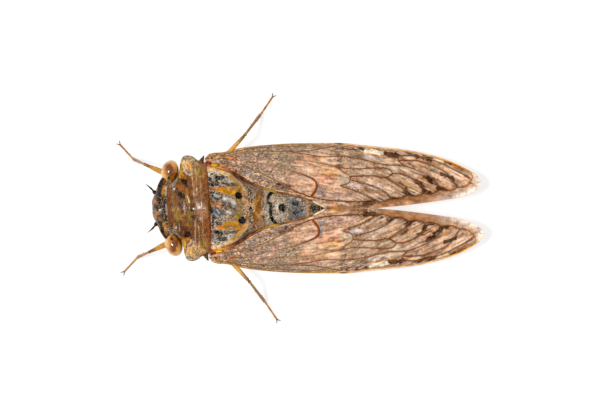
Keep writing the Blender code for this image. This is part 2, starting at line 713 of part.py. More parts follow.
def main():
    """Build every piece of the cicada."""
    for leftover in list(bpy.data.objects):
        bpy.data.objects.remove(leftover)
    model = bpy.data.collections.new("cicada")
    bpy.context.scene.collection.children.link(model)
    sides = (("right", 1), ("left", -1))

    for name, side in sides:
        make_eye(side, 0.0, "eye_" + name, model)
    head_sockets = []
    for name, side in sides:
        line = ANTENNA_LINE if side > 0 else opposite(ANTENNA_LINE)
        limb(line, "antenna_" + name, model)
        head_sockets.append(limb(line, "antenna_socket", model, GAP))
        head_sockets.append(make_eye(side, GAP, "eye_socket", model))
    limb(ROSTRUM_LINE, "rostrum", model)
    head_sockets.append(limb(ROSTRUM_LINE, "rostrum_socket", model, GAP))
    make_head(model, head_sockets)
    make_pronotum(model, [make_eye(side, GAP, "eye_room", model) for name, side in sides])
    make_mesonotum(model)

    thorax_sockets = [limb(ROSTRUM_LINE, "rostrum_room", model, GAP)]
    for pair in LEGS:
        leg = make_leg(pair, model)
        mirrored(leg, "leg_" + pair + "_left")
        line = leg_line(pair)
        thorax_sockets.append(limb(line, "leg_socket", model, GAP))
        thorax_sockets.append(limb(opposite(line), "leg_socket", model, GAP))
    make_thorax(model, thorax_sockets)

    make_abdomen("abdomen", ABDOMEN_FRONT, TIP_CUT, 6, model)
    make_abdomen("abdomen_tip", TIP_CUT + GAP, ABDOMEN_END, 2, model)
    flap = make_operculum(model)
    mirrored(flap, "operculum_left")

    forewing = make_wing("forewing_right", FOREWING_OUTLINE, FOREWING_VEINS, VEIN_HEIGHT, 0.0, model)
    mirrored(forewing, "forewing_left")
    hindwing = make_wing(
        "hindwing_right", HINDWING_OUTLINE, HINDWING_VEINS, HINDWING_VEIN_HEIGHT, HINDWING_DROP, model
    )
    mirrored(hindwing, "hindwing_left")
    finish(model)


main()
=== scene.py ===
"""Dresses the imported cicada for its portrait: skins, eyes, wings, legs, down and light.

The frame holds the solids in metres. Shapes here are worked out in millimetres on a
specimen that is symmetric about Y = 0, as the solids are, with the head towards -X, the
animal's right towards +Y and the feet on Z = 0. settle() then leans the specimen as the
solids lean and turns millimetres into metres, so each object stays at the origin.
"""

import logging
import math
from collections.abc import Callable, Iterable, Sequence
from dataclasses import dataclass, field, replace
from enum import Enum

import bmesh
import bpy
import numpy as np
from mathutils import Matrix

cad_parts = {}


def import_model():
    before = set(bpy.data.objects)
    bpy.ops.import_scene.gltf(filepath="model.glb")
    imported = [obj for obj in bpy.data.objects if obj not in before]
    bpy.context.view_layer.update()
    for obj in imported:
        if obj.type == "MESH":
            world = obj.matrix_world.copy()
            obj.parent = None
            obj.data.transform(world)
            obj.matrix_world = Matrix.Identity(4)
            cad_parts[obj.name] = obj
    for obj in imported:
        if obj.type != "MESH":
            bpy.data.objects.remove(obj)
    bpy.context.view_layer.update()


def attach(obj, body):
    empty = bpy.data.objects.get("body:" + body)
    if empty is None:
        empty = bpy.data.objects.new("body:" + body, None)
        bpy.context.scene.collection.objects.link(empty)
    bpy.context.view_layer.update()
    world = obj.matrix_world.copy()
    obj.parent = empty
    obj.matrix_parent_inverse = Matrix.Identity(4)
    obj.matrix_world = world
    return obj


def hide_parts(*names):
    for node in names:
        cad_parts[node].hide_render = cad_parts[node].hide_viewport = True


LOG = logging.getLogger("cicada")

MM = 0.001
# The gloss adds GLOSS_VEIL of white light to every colour, so a tint is laid down darker by
# that, though never below DARKEST of itself, and then raised by GLOSS_GAIN
GLOSS_VEIL = 0.022
GLOSS_GAIN = 1.06
DARKEST = 0.25
# The specimen's left side sits further back, by LEAN for each millimetre from the midline,
# up to LEAN_REACH on either side
LEAN = 0.05
LEAN_REACH = 5.0
BODY = "root"

# Chitin bends light a little more than glass does
CHITIN_IOR = 1.53
# Radii of a plain vein at its start and its end, in millimetres
VEIN_RADII = (0.055, 0.038)
# Points of one hair, and half the width of its patch on the unwrap
HAIR_POINTS = 7
HAIR_PATCH = 0.0015

Array = np.ndarray
Place = tuple[float, float]
Place3 = tuple[float, float, float]
Bands = tuple[tuple[float, str], ...]
Socket = bpy.types.NodeSocket


class Side(Enum):
    """Where a mark lies: on both sides alike, or only where it is drawn."""

    BOTH = "both"
    DRAWN = "drawn"


SIDES = (("right", 1), ("left", -1))


def settle(places: Array) -> Array:
    """Leans places as the solids lean and turns them into metres.

    Args:
        places: Rows of x, y, z in millimetres.

    Returns:
        The same rows in metres.
    """
    moved = np.array(places, dtype=float)
    moved[:, 0] -= LEAN * np.clip(moved[:, 1], -LEAN_REACH, LEAN_REACH)
    return moved * MM


def linear(hex_colour: str) -> Array:
    """Turns an sRGB hex value into linear red, green and blue."""
    channels = np.array([int(hex_colour[i : i + 2], 16) for i in (1, 3, 5)]) / 255
    return np.where(channels <= 0.04045, channels / 12.92, ((channels + 0.055) / 1.055) ** 2.4)


def lay(tint: Array, share: Array, colour: Array) -> None:
    """Lays a linear colour over a tint, by its share at each point."""
    tint[:, :3] += share[:, None] * (colour - tint[:, :3])


def smoothstep(low: float | Array, high: float | Array, value: Array) -> Array:
    """Rises smoothly from 0 at low to 1 at high."""
    share = np.clip((value - low) / (high - low), 0.0, 1.0)
    return share * share * (3 - 2 * share)


@dataclass(frozen=True)
class Profile:
    """A smooth curve through (place, value) pairs that never overshoots them.

    Attributes:
        knots: The pairs, in rising order of place.
    """

    knots: tuple[Place, ...]

    def __call__(self, place: Array) -> Array:
        """Returns the values at some places, held level past the ends."""
        xs, ys = np.array(self.knots, dtype=float).T
        rises = np.diff(ys) / np.diff(xs)
        product = rises[:-1] * rises[1:]
        total = np.where(product > 0, rises[:-1] + rises[1:], 1.0)
        tangents = np.concatenate([rises[:1], np.where(product > 0, 2 * product / total, 0.0), rises[-1:]])
        at = np.clip(place, xs[0], xs[-1])
        k = np.clip(np.searchsorted(xs, at, side="right") - 1, 0, len(xs) - 2)
        width = xs[k + 1] - xs[k]
        t = (at - xs[k]) / width
        level = ys[k] * (1 + 2 * t) * (1 - t) ** 2 + ys[k + 1] * t * t * (3 - 2 * t)
        return level + width * (tangents[k] * t * (1 - t) ** 2 + tangents[k + 1] * t * t * (t - 1))


def curve(*numbers: float) -> Profile:
    """Returns a profile through places and values, given in turn."""
    return Profile(tuple(zip(numbers[::2], numbers[1::2])))


def level(value: float) -> Profile:
    """Returns a profile with one value everywhere."""
    return curve(-1, value, 1, value)


def spline(controls: Sequence, step: float) -> Array:
    """Returns points about a step apart on a Catmull-Rom spline through the controls."""
    pts = np.array(controls, dtype=float)
    result = []
    for i in range(len(pts) - 1):
        a, b, c, d = (pts[min(max(k, 0), len(pts) - 1)] for k in (i - 1, i, i + 1, i + 2))
        pieces = max(1, round(float(np.linalg.norm(c - b)) / step))
        for k in range(pieces):
            t = k / pieces
            cubic = (2 * a - 5 * b + 4 * c - d) * t * t + (3 * b - a - 3 * c + d) * t**3
            result.append(0.5 * (2 * b + (c - a) * t + cubic))
    result.append(pts[-1])
    return np.array(result)


def distance_to_line(points: Array, line: Array) -> Array:
    """Returns how far each point is from the nearest run of a line, or from a single place."""
    if len(line) == 1:
        return np.linalg.norm(points - line[0], axis=1)
    best = np.full(len(points), np.inf)
    for a, b in zip(line, line[1:]):
        run = b - a
        share = np.clip((points - a) @ run / (run @ run), 0.0, 1.0)
        best = np.minimum(best, np.linalg.norm(points - a - share[:, None] * run, axis=1))
    return best


def value_noise(points: Array, size: float | Sequence[float], seed: int) -> Array:
    """Returns smooth noise from 0 to 1 that changes over about size millimetres."""
    cell = points / np.array(size)
    base = np.floor(cell).astype(np.int64)
    t = cell - base
    t = t * t * (3 - 2 * t)
    total = np.zeros(len(points))
    primes = np.array((73856093, 19349663, 83492791))[: points.shape[1]]
    for corner in np.ndindex(*(2,) * points.shape[1]):
        weight = np.prod(np.where(corner, t, 1 - t), axis=1)
        key = ((base + np.array(corner)) * primes).sum(axis=1) + seed * 2654435761
        key = (key ^ (key >> 13)) * 1274126177 & 0xFFFFFFFF
        key = (key ^ (key >> 16)) * 668265263 & 0xFFFFFFFF
        total += weight * ((key >> 8) & 0xFFFF) / 0xFFFF
    return total


@dataclass(frozen=True)
class Mark:
    """A mark seen from above: a spot, or a streak along a line, painted, raised or both.

    Attributes:
        line: X and Y of its places in turn, in millimetres; a single place is a spot.
        reach: Half of its width.
        colour: sRGB hex value, or empty where the mark only shapes the surface.
        strength: Share of the colour that it lays on.
        ragged: How far noise moves its edge, as a share of the reach.
        specks: Amount of specks inside it, or None where it leaves them alone.
        soft: Share of the reach over which it fades.
        rise: How far it lifts the surface, in millimetres.
        side: Where it lies. A mark on both sides is given with Y above 0.
    """

    line: tuple[float, ...]
    reach: float
    colour: str = ""
    strength: float = 1.0
    ragged: float = 0.5
    specks: float | None = None
    soft: float = 0.5
    rise: float = 0.0
    side: Side = Side.BOTH

    def cover(self, plan: Array, noise: Array) -> Array:
        """Returns how much of the mark lies on each plan place, from 0 to 1."""
        where = plan
        if self.side is Side.BOTH:
            where = np.column_stack([plan[:, 0], np.abs(plan[:, 1])])
        away = distance_to_line(where, np.array(self.line, dtype=float).reshape(-1, 2))
        edge = self.reach * (1 + self.ragged * noise)
        return smoothstep(edge * (1 + 0.5 * self.soft), edge * (1 - 0.5 * self.soft), away)


def single(*row: tuple[float, ...] | float | str, **settings: float) -> Mark:
    """Returns a mark that lies only where it is drawn, on one side or across the midline.

    Args:
        row: The mark's line, reach, colour, strength, raggedness and specks, as far as given.
        settings: Its other attributes by name.

    Returns:
        The mark.
    """
    return Mark(*row, side=Side.DRAWN, **settings)


@dataclass(frozen=True)
class Paint:
    """The colours of one skin: a ground, the marks over it and the specks between them.

    Attributes:
        ground: sRGB hex value under everything.
        marks: Marks in the order that they are laid on.
        specks: Amount of fine specks, from 0 to 1, kept in the colour's alpha.
        seed: Seed of the noise that makes the edges ragged.
        mottle: How far the brightness varies, finely and from patch to patch.
        warmth: How far the hue varies between golden and grey.
        lowest: Height below which the marks fade into the ground.
    """

    ground: str
    marks: tuple[Mark, ...] = ()
    specks: float = 0.5
    seed: int = 1
    mottle: float = 0.3
    warmth: float = 0.25
    lowest: float = 0.0

    def noise(self, plan: Array) -> Array:
        """Returns the noise that moves the marks' edges, from -1 to 1."""
        coarse = value_noise(plan, 0.45, self.seed)
        fine = value_noise(plan, 0.17, self.seed + 1)
        return 2.4 * (0.6 * coarse + 0.4 * fine - 0.5)

    def tint(self, places: Array) -> Array:
        """Returns the colour, with the specks' amount as alpha, at each place or plan place."""
        plan = places[:, :2]
        noise = self.noise(plan)
        height = places[:, 2] if places.shape[1] > 2 else np.ones(len(places))
        held = smoothstep(self.lowest - 1.0, self.lowest, height + 0.3 * noise)
        tint = np.tile(np.append(linear(self.ground), self.specks), (len(plan), 1))
        for mark in self.marks:
            if not mark.colour:
                continue
            cover = mark.cover(plan, noise) * mark.strength * held
            lay(tint, cover, linear(mark.colour))
            if mark.specks is not None:
                tint[:, 3] += cover * (mark.specks - tint[:, 3])
        shade = value_noise(plan, 0.3, self.seed + 2) + value_noise(plan, (0.14, 0.22), self.seed + 3) - 1
        warm = value_noise(plan, 0.5, self.seed + 4) + value_noise(plan, 0.2, self.seed + 5) - 1
        # The palest marks keep their own colour
        amount = (1 - 0.8 * smoothstep(0.5, 0.75, tint[:, :3].mean(axis=1)))[:, None]
        tint[:, :3] *= 1 + self.mottle * amount * shade[:, None]
        tint[:, :3] *= 1 + self.warmth * amount * warm[:, None] * np.array((0.7, 0.0, -1.0))
        return tint

    def rise(self, plan: Array) -> Array:
        """Returns how far the marks lift the surface at each plan place."""
        noise = self.noise(plan)
        total = np.zeros(len(plan))
        for mark in self.marks:
            if mark.rise:
                total += mark.rise * mark.cover(plan, noise)
        return total


def add_node(
    tree: bpy.types.NodeTree, kind: str, settings: dict | None = None, links: dict | None = None
) -> bpy.types.ShaderNode:
    """Adds one shader node.

    Args:
        tree: The material's or the world's node tree.
        kind: The node's type name, without ShaderNode.
        settings: Values by property name, or by input name or number.
        links: Output sockets by the input name or number that they feed.

    Returns:
        The new node.
    """
    node = tree.nodes.new("ShaderNode" + kind)
    for key, value in (settings or {}).items():
        if isinstance(key, str) and hasattr(node, key):
            setattr(node, key, value)
        else:
            node.inputs[key].default_value = value
    for key, output in (links or {}).items():
        tree.links.new(output, node.inputs[key])
    return node


@dataclass(frozen=True)
class Cuticle:
    """Insect cuticle: a hard skin of chitin, painted from the mesh's own tint.

    Attributes:
        name: What the real surface is.
        roughness: Middle roughness; noise moves it a little up and down.
        coat: Weight of the thin waxy gloss over it.
        coat_roughness: Roughness of that gloss.
        speck: Size of the specks and of the scattered scales, in millimetres.
        dark: Colour of the dark specks.
        pale: Colour of the pale specks.
        contrast: How far the colour varies from patch to patch.
        grain: Size of the surface's wrinkles and pits, in millimetres.
        depth: Depth of that grain, in millimetres.
        stretch: How much longer than wide the grain and the specks are, along X.
        sheen: Weight of the dusty light at grazing angles that fine down gives.
        specular: Level of the plain gloss; scales and wax leave less of it.
        hatch: How far fine wrinkles across the body lighten and darken the colour.
    """

    name: str
    roughness: float = 0.42
    coat: float = 0.25
    coat_roughness: float = 0.2
    speck: float = 0.16
    dark: str = "#2A1C14"
    pale: str = "#D8C8B0"
    contrast: float = 0.3
    grain: float = 0.12
    depth: float = 0.03
    stretch: float = 1.0
    sheen: float = 0.0
    specular: float = 0.1
    hatch: float = 0.0

    def material(self) -> bpy.types.Material:
        """Returns the finish's material, made the first time it is asked for."""
        made = bpy.data.materials.get(self.name)
        if made:
            return made
        made = bpy.data.materials.new(self.name)
        made.use_nodes = True
        tree = made.node_tree
        shader = tree.nodes["Principled BSDF"]
        place = add_node(tree, "TexCoord").outputs["Object"]
        scale = (1 / (MM * self.stretch), 1 / MM, 1 / MM)
        place = add_node(tree, "Mapping", {"Scale": scale}, {"Vector": place}).outputs[0]
        tint = add_node(tree, "Attribute", {"attribute_name": "tint"})

        def noise(size: float, shift: float, detail: float) -> Socket:
            """Adds noise of a size in millimetres, moved so that no two patterns agree."""
            moved = add_node(tree, "Mapping", {"Location": (shift, shift, shift)}, {"Vector": place})
            settings = {"Scale": 1 / size, "Detail": detail, "Roughness": 0.6}
            return add_node(tree, "TexNoise", settings, {"Vector": moved.outputs[0]}).outputs[0]

        def span(value: Socket, low: float, high: float, to_low: float, to_high: float) -> Socket:
            """Maps a range of values onto another one, held at its ends."""
            settings = {1: low, 2: high, 3: to_low, 4: to_high}
            return add_node(tree, "MapRange", settings, {0: value}).outputs[0]

        def mix(factor: Socket, first: Socket, colour: str) -> Socket:
            """Lays a colour over another by a factor."""
            settings = {"data_type": "RGBA", 7: (*linear(colour), 1.0)}
            return add_node(tree, "Mix", settings, {0: factor, 6: first}).outputs[2]

        patch = span(noise(self.speck * 3.2, 3.1, 3), 0.3, 0.7, 1 - self.contrast, 1 + self.contrast)
        if self.hatch:
            across = add_node(tree, "Mapping", {"Scale": (1 / 0.15, 1 / 0.7, 1 / 0.7)}, {"Vector": place})
            vector = across.outputs[0]
            lines = add_node(tree, "TexNoise", {"Scale": 1.0, "Detail": 1.0}, {"Vector": vector}).outputs[0]
            lines = span(lines, 0.35, 0.65, 1 - self.hatch, 1 + self.hatch)
            patch = add_node(tree, "Math", {"operation": "MULTIPLY"}, {0: patch, 1: lines}).outputs[0]
        links = {0: tint.outputs["Color"], "Scale": patch}
        colour = add_node(tree, "VectorMath", {"operation": "SCALE"}, links).outputs[0]
        for size, shift, low, high, hue in (
            (self.speck, 17.3, 0.51, 0.58, self.dark),
            (self.speck * 0.85, 41.7, 0.53, 0.6, self.pale),
        ):
            specks = span(noise(size, shift, 2), low, high, 0.0, 0.95)
            amount = add_node(tree, "Math", {"operation": "MULTIPLY"}, {0: specks, 1: tint.outputs["Alpha"]})
            colour = mix(amount.outputs[0], colour, hue)
        rough = span(noise(self.grain * 2, 7.7, 2), 0.3, 0.7, self.roughness - 0.08, self.roughness + 0.1)
        relief = noise(self.grain, 23.9, 4)
        bump = add_node(tree, "Bump", {"Strength": 1.0, "Distance": self.depth * MM}, {"Height": relief})
        tree.links.new(colour, shader.inputs["Base Color"])
        tree.links.new(rough, shader.inputs["Roughness"])
        tree.links.new(bump.outputs[0], shader.inputs["Normal"])
        shader.inputs["IOR"].default_value = CHITIN_IOR
        shader.inputs["Specular IOR Level"].default_value = self.specular
        shader.inputs["Coat Weight"].default_value = self.coat
        shader.inputs["Coat Roughness"].default_value = self.coat_roughness
        shader.inputs["Sheen Weight"].default_value = self.sheen
        shader.inputs["Sheen Roughness"].default_value = 0.4
        return made


# Satin cuticle of the head, with short scales between the marks
HEAD_CUTICLE = Cuticle("head cuticle", 0.35, 0.1, speck=0.17, dark="#100A06", pale="#B8956A", contrast=0.45)
# The facets are far too fine to show, so the eye is a smooth glossy dome of cuticle
EYE_CORNEA = Cuticle(
    "compound eye cornea", 0.2, 1.0, 0.11, speck=0.3, contrast=0.1, grain=0.05, depth=0.001, dark="#4A2810",
    pale="#D89A50", specular=0.4,
)
# Dark, hardened cuticle of the feelers and the beak
DARK_CUTICLE = Cuticle(
    "dark hardened cuticle", 0.35, 0.2, speck=0.2, dark="#080605", pale="#5A4030", contrast=0.3
)
# The first plate is polished, with fine wrinkles across it and almost no down
PLATE_CUTICLE = Cuticle(
    "polished wrinkled cuticle", 0.3, 0.14, 0.15, speck=0.19, dark="#2E170A", pale="#D0A26C", contrast=0.5,
    grain=0.15, depth=0.06, stretch=0.5, hatch=0.24,
)
# The second plate is dusted with wax, which gives it its grey bloom
FROSTED_CUTICLE = Cuticle(
    "waxy frosted cuticle", 0.45, 0.05, speck=0.21, dark="#0C0907", pale="#EAD4BC", contrast=0.5, depth=0.05
)
# Duller cuticle of the rings and of the underside
RING_CUTICLE = Cuticle(
    "dull ring cuticle", 0.42, 0.06, speck=0.18, dark="#14100C", pale="#E8D6BC", contrast=0.45, depth=0.045
)
LEG_CUTICLE = Cuticle(
    "leg cuticle", 0.35, 0.35, speck=0.13, dark="#5A3418", pale="#F0CE8C", contrast=0.25, grain=0.1
)
# The forewing is leathery: a thick membrane with a mealy covering of scales and wax
WING_LEATHER = Cuticle(
    "leathery wing membrane", 0.5, 0.03, speck=0.15, dark="#4E321E", pale="#FFDCB8", contrast=0.5,
    grain=0.12, depth=0.055, stretch=1.7, specular=0.06, hatch=0.08,
)
VEIN_CUTICLE = Cuticle(
    "wing vein", 0.35, 0.15, speck=0.2, dark="#2C140A", pale="#C07A3C", contrast=0.3, depth=0.015
)
WING_FILM = Cuticle(
    "thin wing film", 0.3, 0.3, speck=0.25, dark="#5A3A1C", pale="#E0BC80", contrast=0.2, depth=0.01
)
# Bristles and down are hollow hairs of cuticle, pale and a little glossy
DOWN_HAIR = Cuticle(
    "down hair", 0.45, 0.1, speck=0.3, dark="#6A5A48", pale="#FFF6E4", contrast=0.1, depth=0.002
)


Surface = Callable[[Array, Array], Array]


def sphere_parameters(unit: Array) -> tuple[Array, Array]:
    """Reads a unit sphere as a skin: along it from pole to pole, and around it from its top.

    Args:
        unit: Rows of x, y, z on the unit sphere, with its poles on Z.

    Returns:
        The place along, 0 to 1, and around, -1 to 1, closer together near the top.
    """
    along = 1 - np.arccos(np.clip(unit[:, 2], -1, 1)) / math.pi
    around = np.arctan2(unit[:, 0], unit[:, 1]) / math.pi
    return along, around * (0.55 + 0.45 * around**2)


class Skin:
    """One mesh under construction, with the tint of each of its points."""

    def __init__(self, name: str) -> None:
        """Starts an empty mesh.

        Args:
            name: Name of the finished piece.
        """
        self.name = name
        self.bm = bmesh.new()
        self.layer = self.bm.verts.layers.float_color.new("tint")

    def write(self, verts: Sequence, places: Array, tints: Array) -> None:
        """Moves points to their places and tints them, leaving room for the gloss.

        Args:
            verts: The points.
            places: Rows of x, y, z in millimetres.
            tints: Rows of linear red, green and blue and the amount of specks.
        """
        tints = tints.copy()
        tints[:, :3] = GLOSS_GAIN * np.maximum(tints[:, :3] - GLOSS_VEIL, DARKEST * tints[:, :3])
        for vert, place, tint in zip(verts, places, tints):
            vert.co = place
            vert[self.layer] = tint

    def turn_outwards(self, verts: Sequence) -> None:
        """Turns the faces of a closed piece outwards, by the sign of its volume."""
        faces = list({face for vert in verts for face in vert.link_faces})
        volume = 0.0
        for face in faces:
            face.normal_update()
            volume += face.calc_center_median().dot(face.normal) * face.calc_area()
        if volume < 0:
            bmesh.ops.reverse_faces(self.bm, faces=faces)

    def add_surface(self, surface: Surface, paint: Paint, segments: int, rings: int) -> None:
        """Adds a closed skin, a sphere drawn over a surface and painted from above.

        Args:
            surface: The surface.
            paint: Its colours.
            segments: Number of points around it.
            rings: Number of points along it.
        """
        made = bmesh.ops.create_uvsphere(self.bm, u_segments=segments, v_segments=rings, radius=1.0)["verts"]
        along, around = sphere_parameters(np.array([vert.co[:] for vert in made]))
        places = surface(along, around)
        self.write(made, places, paint.tint(places))
        self.turn_outwards(made)

    def add_limb(
        self, limb: "Limb", segments: int = 12, step: float = 0.12, paint: Paint | None = None
    ) -> None:
        """Adds a round limb along its line, closed and rounded at its ends.

        Args:
            limb: The limb.
            segments: Number of points around it.
            step: Distance between its rings, in millimetres.
            paint: Colours laid on from above, or None for the limb's own bands.
        """
        rings = max(8, int(limb.length / step))
        made = bmesh.ops.create_uvsphere(self.bm, u_segments=segments, v_segments=rings, radius=1.0)["verts"]
        unit = np.array([vert.co[:] for vert in made])
        share = 0.5 + 0.5 * unit[:, 2]
        places = limb.place(share, np.arctan2(unit[:, 1], unit[:, 0]))
        self.write(made, places, paint.tint(places) if paint else limb.tint(share, places))
        self.turn_outwards(made)

    def finish(self, cuticle: Cuticle, slot: str, nodes: Iterable[str] = ()) -> bpy.types.Object:
        """Turns the mesh into a finished piece.

        Args:
            cuticle: Its finish.
            slot: The record's material slot; not used.
            nodes: CAD nodes that it replaces.

        Returns:
            The new object.
        """
        for vert, place in zip(self.bm.verts, settle(np.array([vert.co[:] for vert in self.bm.verts]))):
            vert.co = place
        mesh = bpy.data.meshes.new(self.name)
        self.bm.to_mesh(mesh)
        self.bm.free()
        mesh.shade_smooth()
        return show(mesh, cuticle, nodes)


def show(mesh: bpy.types.Mesh, cuticle: Cuticle, nodes: Iterable[str] = ()) -> bpy.types.Object:
    """Puts a finished mesh in the scene, with its material and its place in the frame."""
    piece = bpy.data.objects.new(mesh.name, mesh)
    bpy.context.scene.collection.objects.link(piece)
    mesh.materials.append(cuticle.material())
    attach(piece, BODY)
    replaced = tuple(nodes)
    if replaced:
        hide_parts(*replaced)
    LOG.info("%s: %d faces, replaces %s", mesh.name, len(mesh.polygons), ", ".join(replaced) or "nothing")
    return piece


@dataclass(frozen=True)
class Hull:
    """A closed plate or trunk with half an ellipse above its widest line and half below.

    Attributes:
        front: Where it starts along the body.
        rear: Where it ends.
        half_width: Half width by place along the body.
        top: Height of its top.
        bottom: Height of its bottom.
        belt: Height of its widest line, or None where belt_share gives it.
        belt_share: Share of the way from bottom to top of that line.
        power: 2 for an ellipse, less for a shape with thin sides, more for a boxy one.
        bow: How far a point lies back by its distance from the middle.
        bow_share: Share of that bow by place along the body.
        rim: Radius of its rounded ends.
        steps: Rear edges of overlapping rings.
        flare: How much wider a ring is at its rear edge.
        wrinkles: Size along the body, size across it, and height, of wrinkles.
        paint: Its colours and its raised marks.
    """

    front: float
    rear: float
    half_width: Profile
    top: Profile
    bottom: Profile
    paint: Paint
    belt: Profile | None = None
    belt_share: float = 0.5
    power: float = 2.0
    bow: Profile | None = None
    bow_share: Profile | None = None
    rim: float = 0.12
    steps: tuple[float, ...] = ()
    flare: float = 0.0
    wrinkles: tuple[float, float, float] = (0.3, 0.3, 0.0)

    def ends(self, along: Array) -> tuple[Array, Array]:
        """Returns the place along the body and the size of the section, closed at both ends."""
        keys = np.array((0.0, 0.034, 0.042, 0.05, 0.06))
        reach = self.rim * np.array((0.0, 0.0, 0.12, 0.45, 1.0))
        shrink = np.array((1.0, 1.0, 0.45, 0.12, 0.0))
        sizes = []
        for end in (self.front, self.rear):
            share = min(0.9, self.rim / float(self.half_width(np.array([end]))[0]))
            size = 1 - share * shrink
            size[0] = 0.0
            sizes.append(size)
        stops = np.concatenate([keys, 1 - keys[::-1]])
        x = np.interp(along, stops, np.concatenate([self.front + reach, self.rear - reach[::-1]]))
        return x, np.interp(along, stops, np.concatenate([sizes[0], sizes[1][::-1]]))

    def __call__(self, along: Array, around: Array) -> Array:
        """Returns the surface's places along it, 0 to 1, and around it from its top, -1 to 1."""
        x, size = self.ends(along)
        top = self.top(x)
        bottom = self.bottom(x)
        belt = self.belt(x) if self.belt else bottom + self.belt_share * (top - bottom)
        if self.steps:
            size = size * self.ring_size(x)
        s = np.sin(math.pi * around)
        c = np.cos(math.pi * around)
        y = self.half_width(x) * size * np.sign(s) * np.abs(s) ** (2 / self.power)
        rise = np.where(c > 0, top - belt, belt - bottom)
        z = belt + rise * size * np.sign(c) * np.abs(c) ** (2 / self.power)
        if self.bow:
            x = x + self.bow_share(x) * self.bow(np.abs(y))
        plan = np.column_stack([x, y])
        facing_up = smoothstep(0.0, 0.35, c) * smoothstep(0.9, 1.0, size)
        along_size, across_size, height = self.wrinkles
        if height:
            z = z + height * facing_up * (value_noise(plan, (along_size, across_size), 5) - 0.5)
        z = z + self.paint.rise(plan) * facing_up
        return np.column_stack([x, y, z])

    def ring_size(self, x: Array) -> Array:
        """Returns how wide the rings are, each one narrow in front and flared at its rear edge."""
        edges = np.array((self.front, *self.steps, self.rear))
        k = np.clip(np.searchsorted(edges, x, side="right") - 1, 0, len(edges) - 2)
        share = (x - edges[k]) / (edges[k + 1] - edges[k])
        return 1 - self.flare * (1 - share**0.7)


@dataclass(frozen=True)
class Limb:
    """A round limb along a line: a leg's segment, a vein, a feeler or a bristle.

    Attributes:
        line: Places along its middle, close together.
        radius: Radius by share of the length.
        bands: Colour by share of the length, as (share, sRGB hex value) pairs.
        specks: Amount of specks.
        flatten: Height as a share of the width.
    """

    line: Array
    radius: Profile
    bands: Bands
    specks: float = 0.4
    flatten: float = 1.0

    @property
    def runs(self) -> Array:
        """Length of the line up to each of its points."""
        return np.concatenate([[0.0], np.cumsum(np.linalg.norm(np.diff(self.line, axis=0), axis=1))])

    @property
    def length(self) -> float:
        """Length of the whole line."""
        return float(self.runs[-1])

    def frames(self) -> tuple[Array, Array, Array]:
        """Returns the direction, the sideways axis and the upward axis at each point of the line."""
        ahead = np.gradient(self.line, axis=0)
        ahead /= np.linalg.norm(ahead, axis=1)[:, None]
        start = np.array((0.0, 0.0, 1.0)) if abs(ahead[0][2]) < 0.9 else np.array((0.0, 1.0, 0.0))
        ups = []
        up = start
        for direction in ahead:
            up = up - (up @ direction) * direction
            up = up / np.linalg.norm(up)
            ups.append(up)
        up = np.array(ups)
        return ahead, np.cross(up, ahead), up

    def place(self, share: Array, angle: Array) -> Array:
        """Returns places on the limb by share of its length and angle round it."""
        runs = self.runs
        _, side, up = self.frames()
        at = share * runs[-1]
        size = self.radius(share)
        for end, gone in ((0.0, at), (1.0, runs[-1] - at)):
            cap = max(self.radius(np.array([end]))[0], 1e-4)
            size = size * np.sqrt(np.clip(1 - np.clip(1 - gone / cap, 0, 1) ** 2, 0, 1))
        middle = np.column_stack([np.interp(at, runs, self.line[:, k]) for k in range(3)])
        sideways = np.column_stack([np.interp(at, runs, side[:, k]) for k in range(3)])
        upward = np.column_stack([np.interp(at, runs, up[:, k]) for k in range(3)])
        across = (size * np.cos(angle))[:, None] * sideways
        return middle + across + (size * self.flatten * np.sin(angle))[:, None] * upward

    def tint(self, share: Array, places: Array) -> Array:
        """Returns the tint by share of the length, with ragged borders between the bands."""
        moved = share + 0.12 * (value_noise(places, 0.2, 3) - 0.5) * min(1.0, 1.5 / self.length)
        stops = [stop for stop, colour in self.bands]
        colours = np.array([linear(colour) for stop, colour in self.bands])
        channels = [np.interp(moved, stops, colours[:, k]) for k in range(3)]
        return np.column_stack([*channels, np.full(len(share), self.specks)])


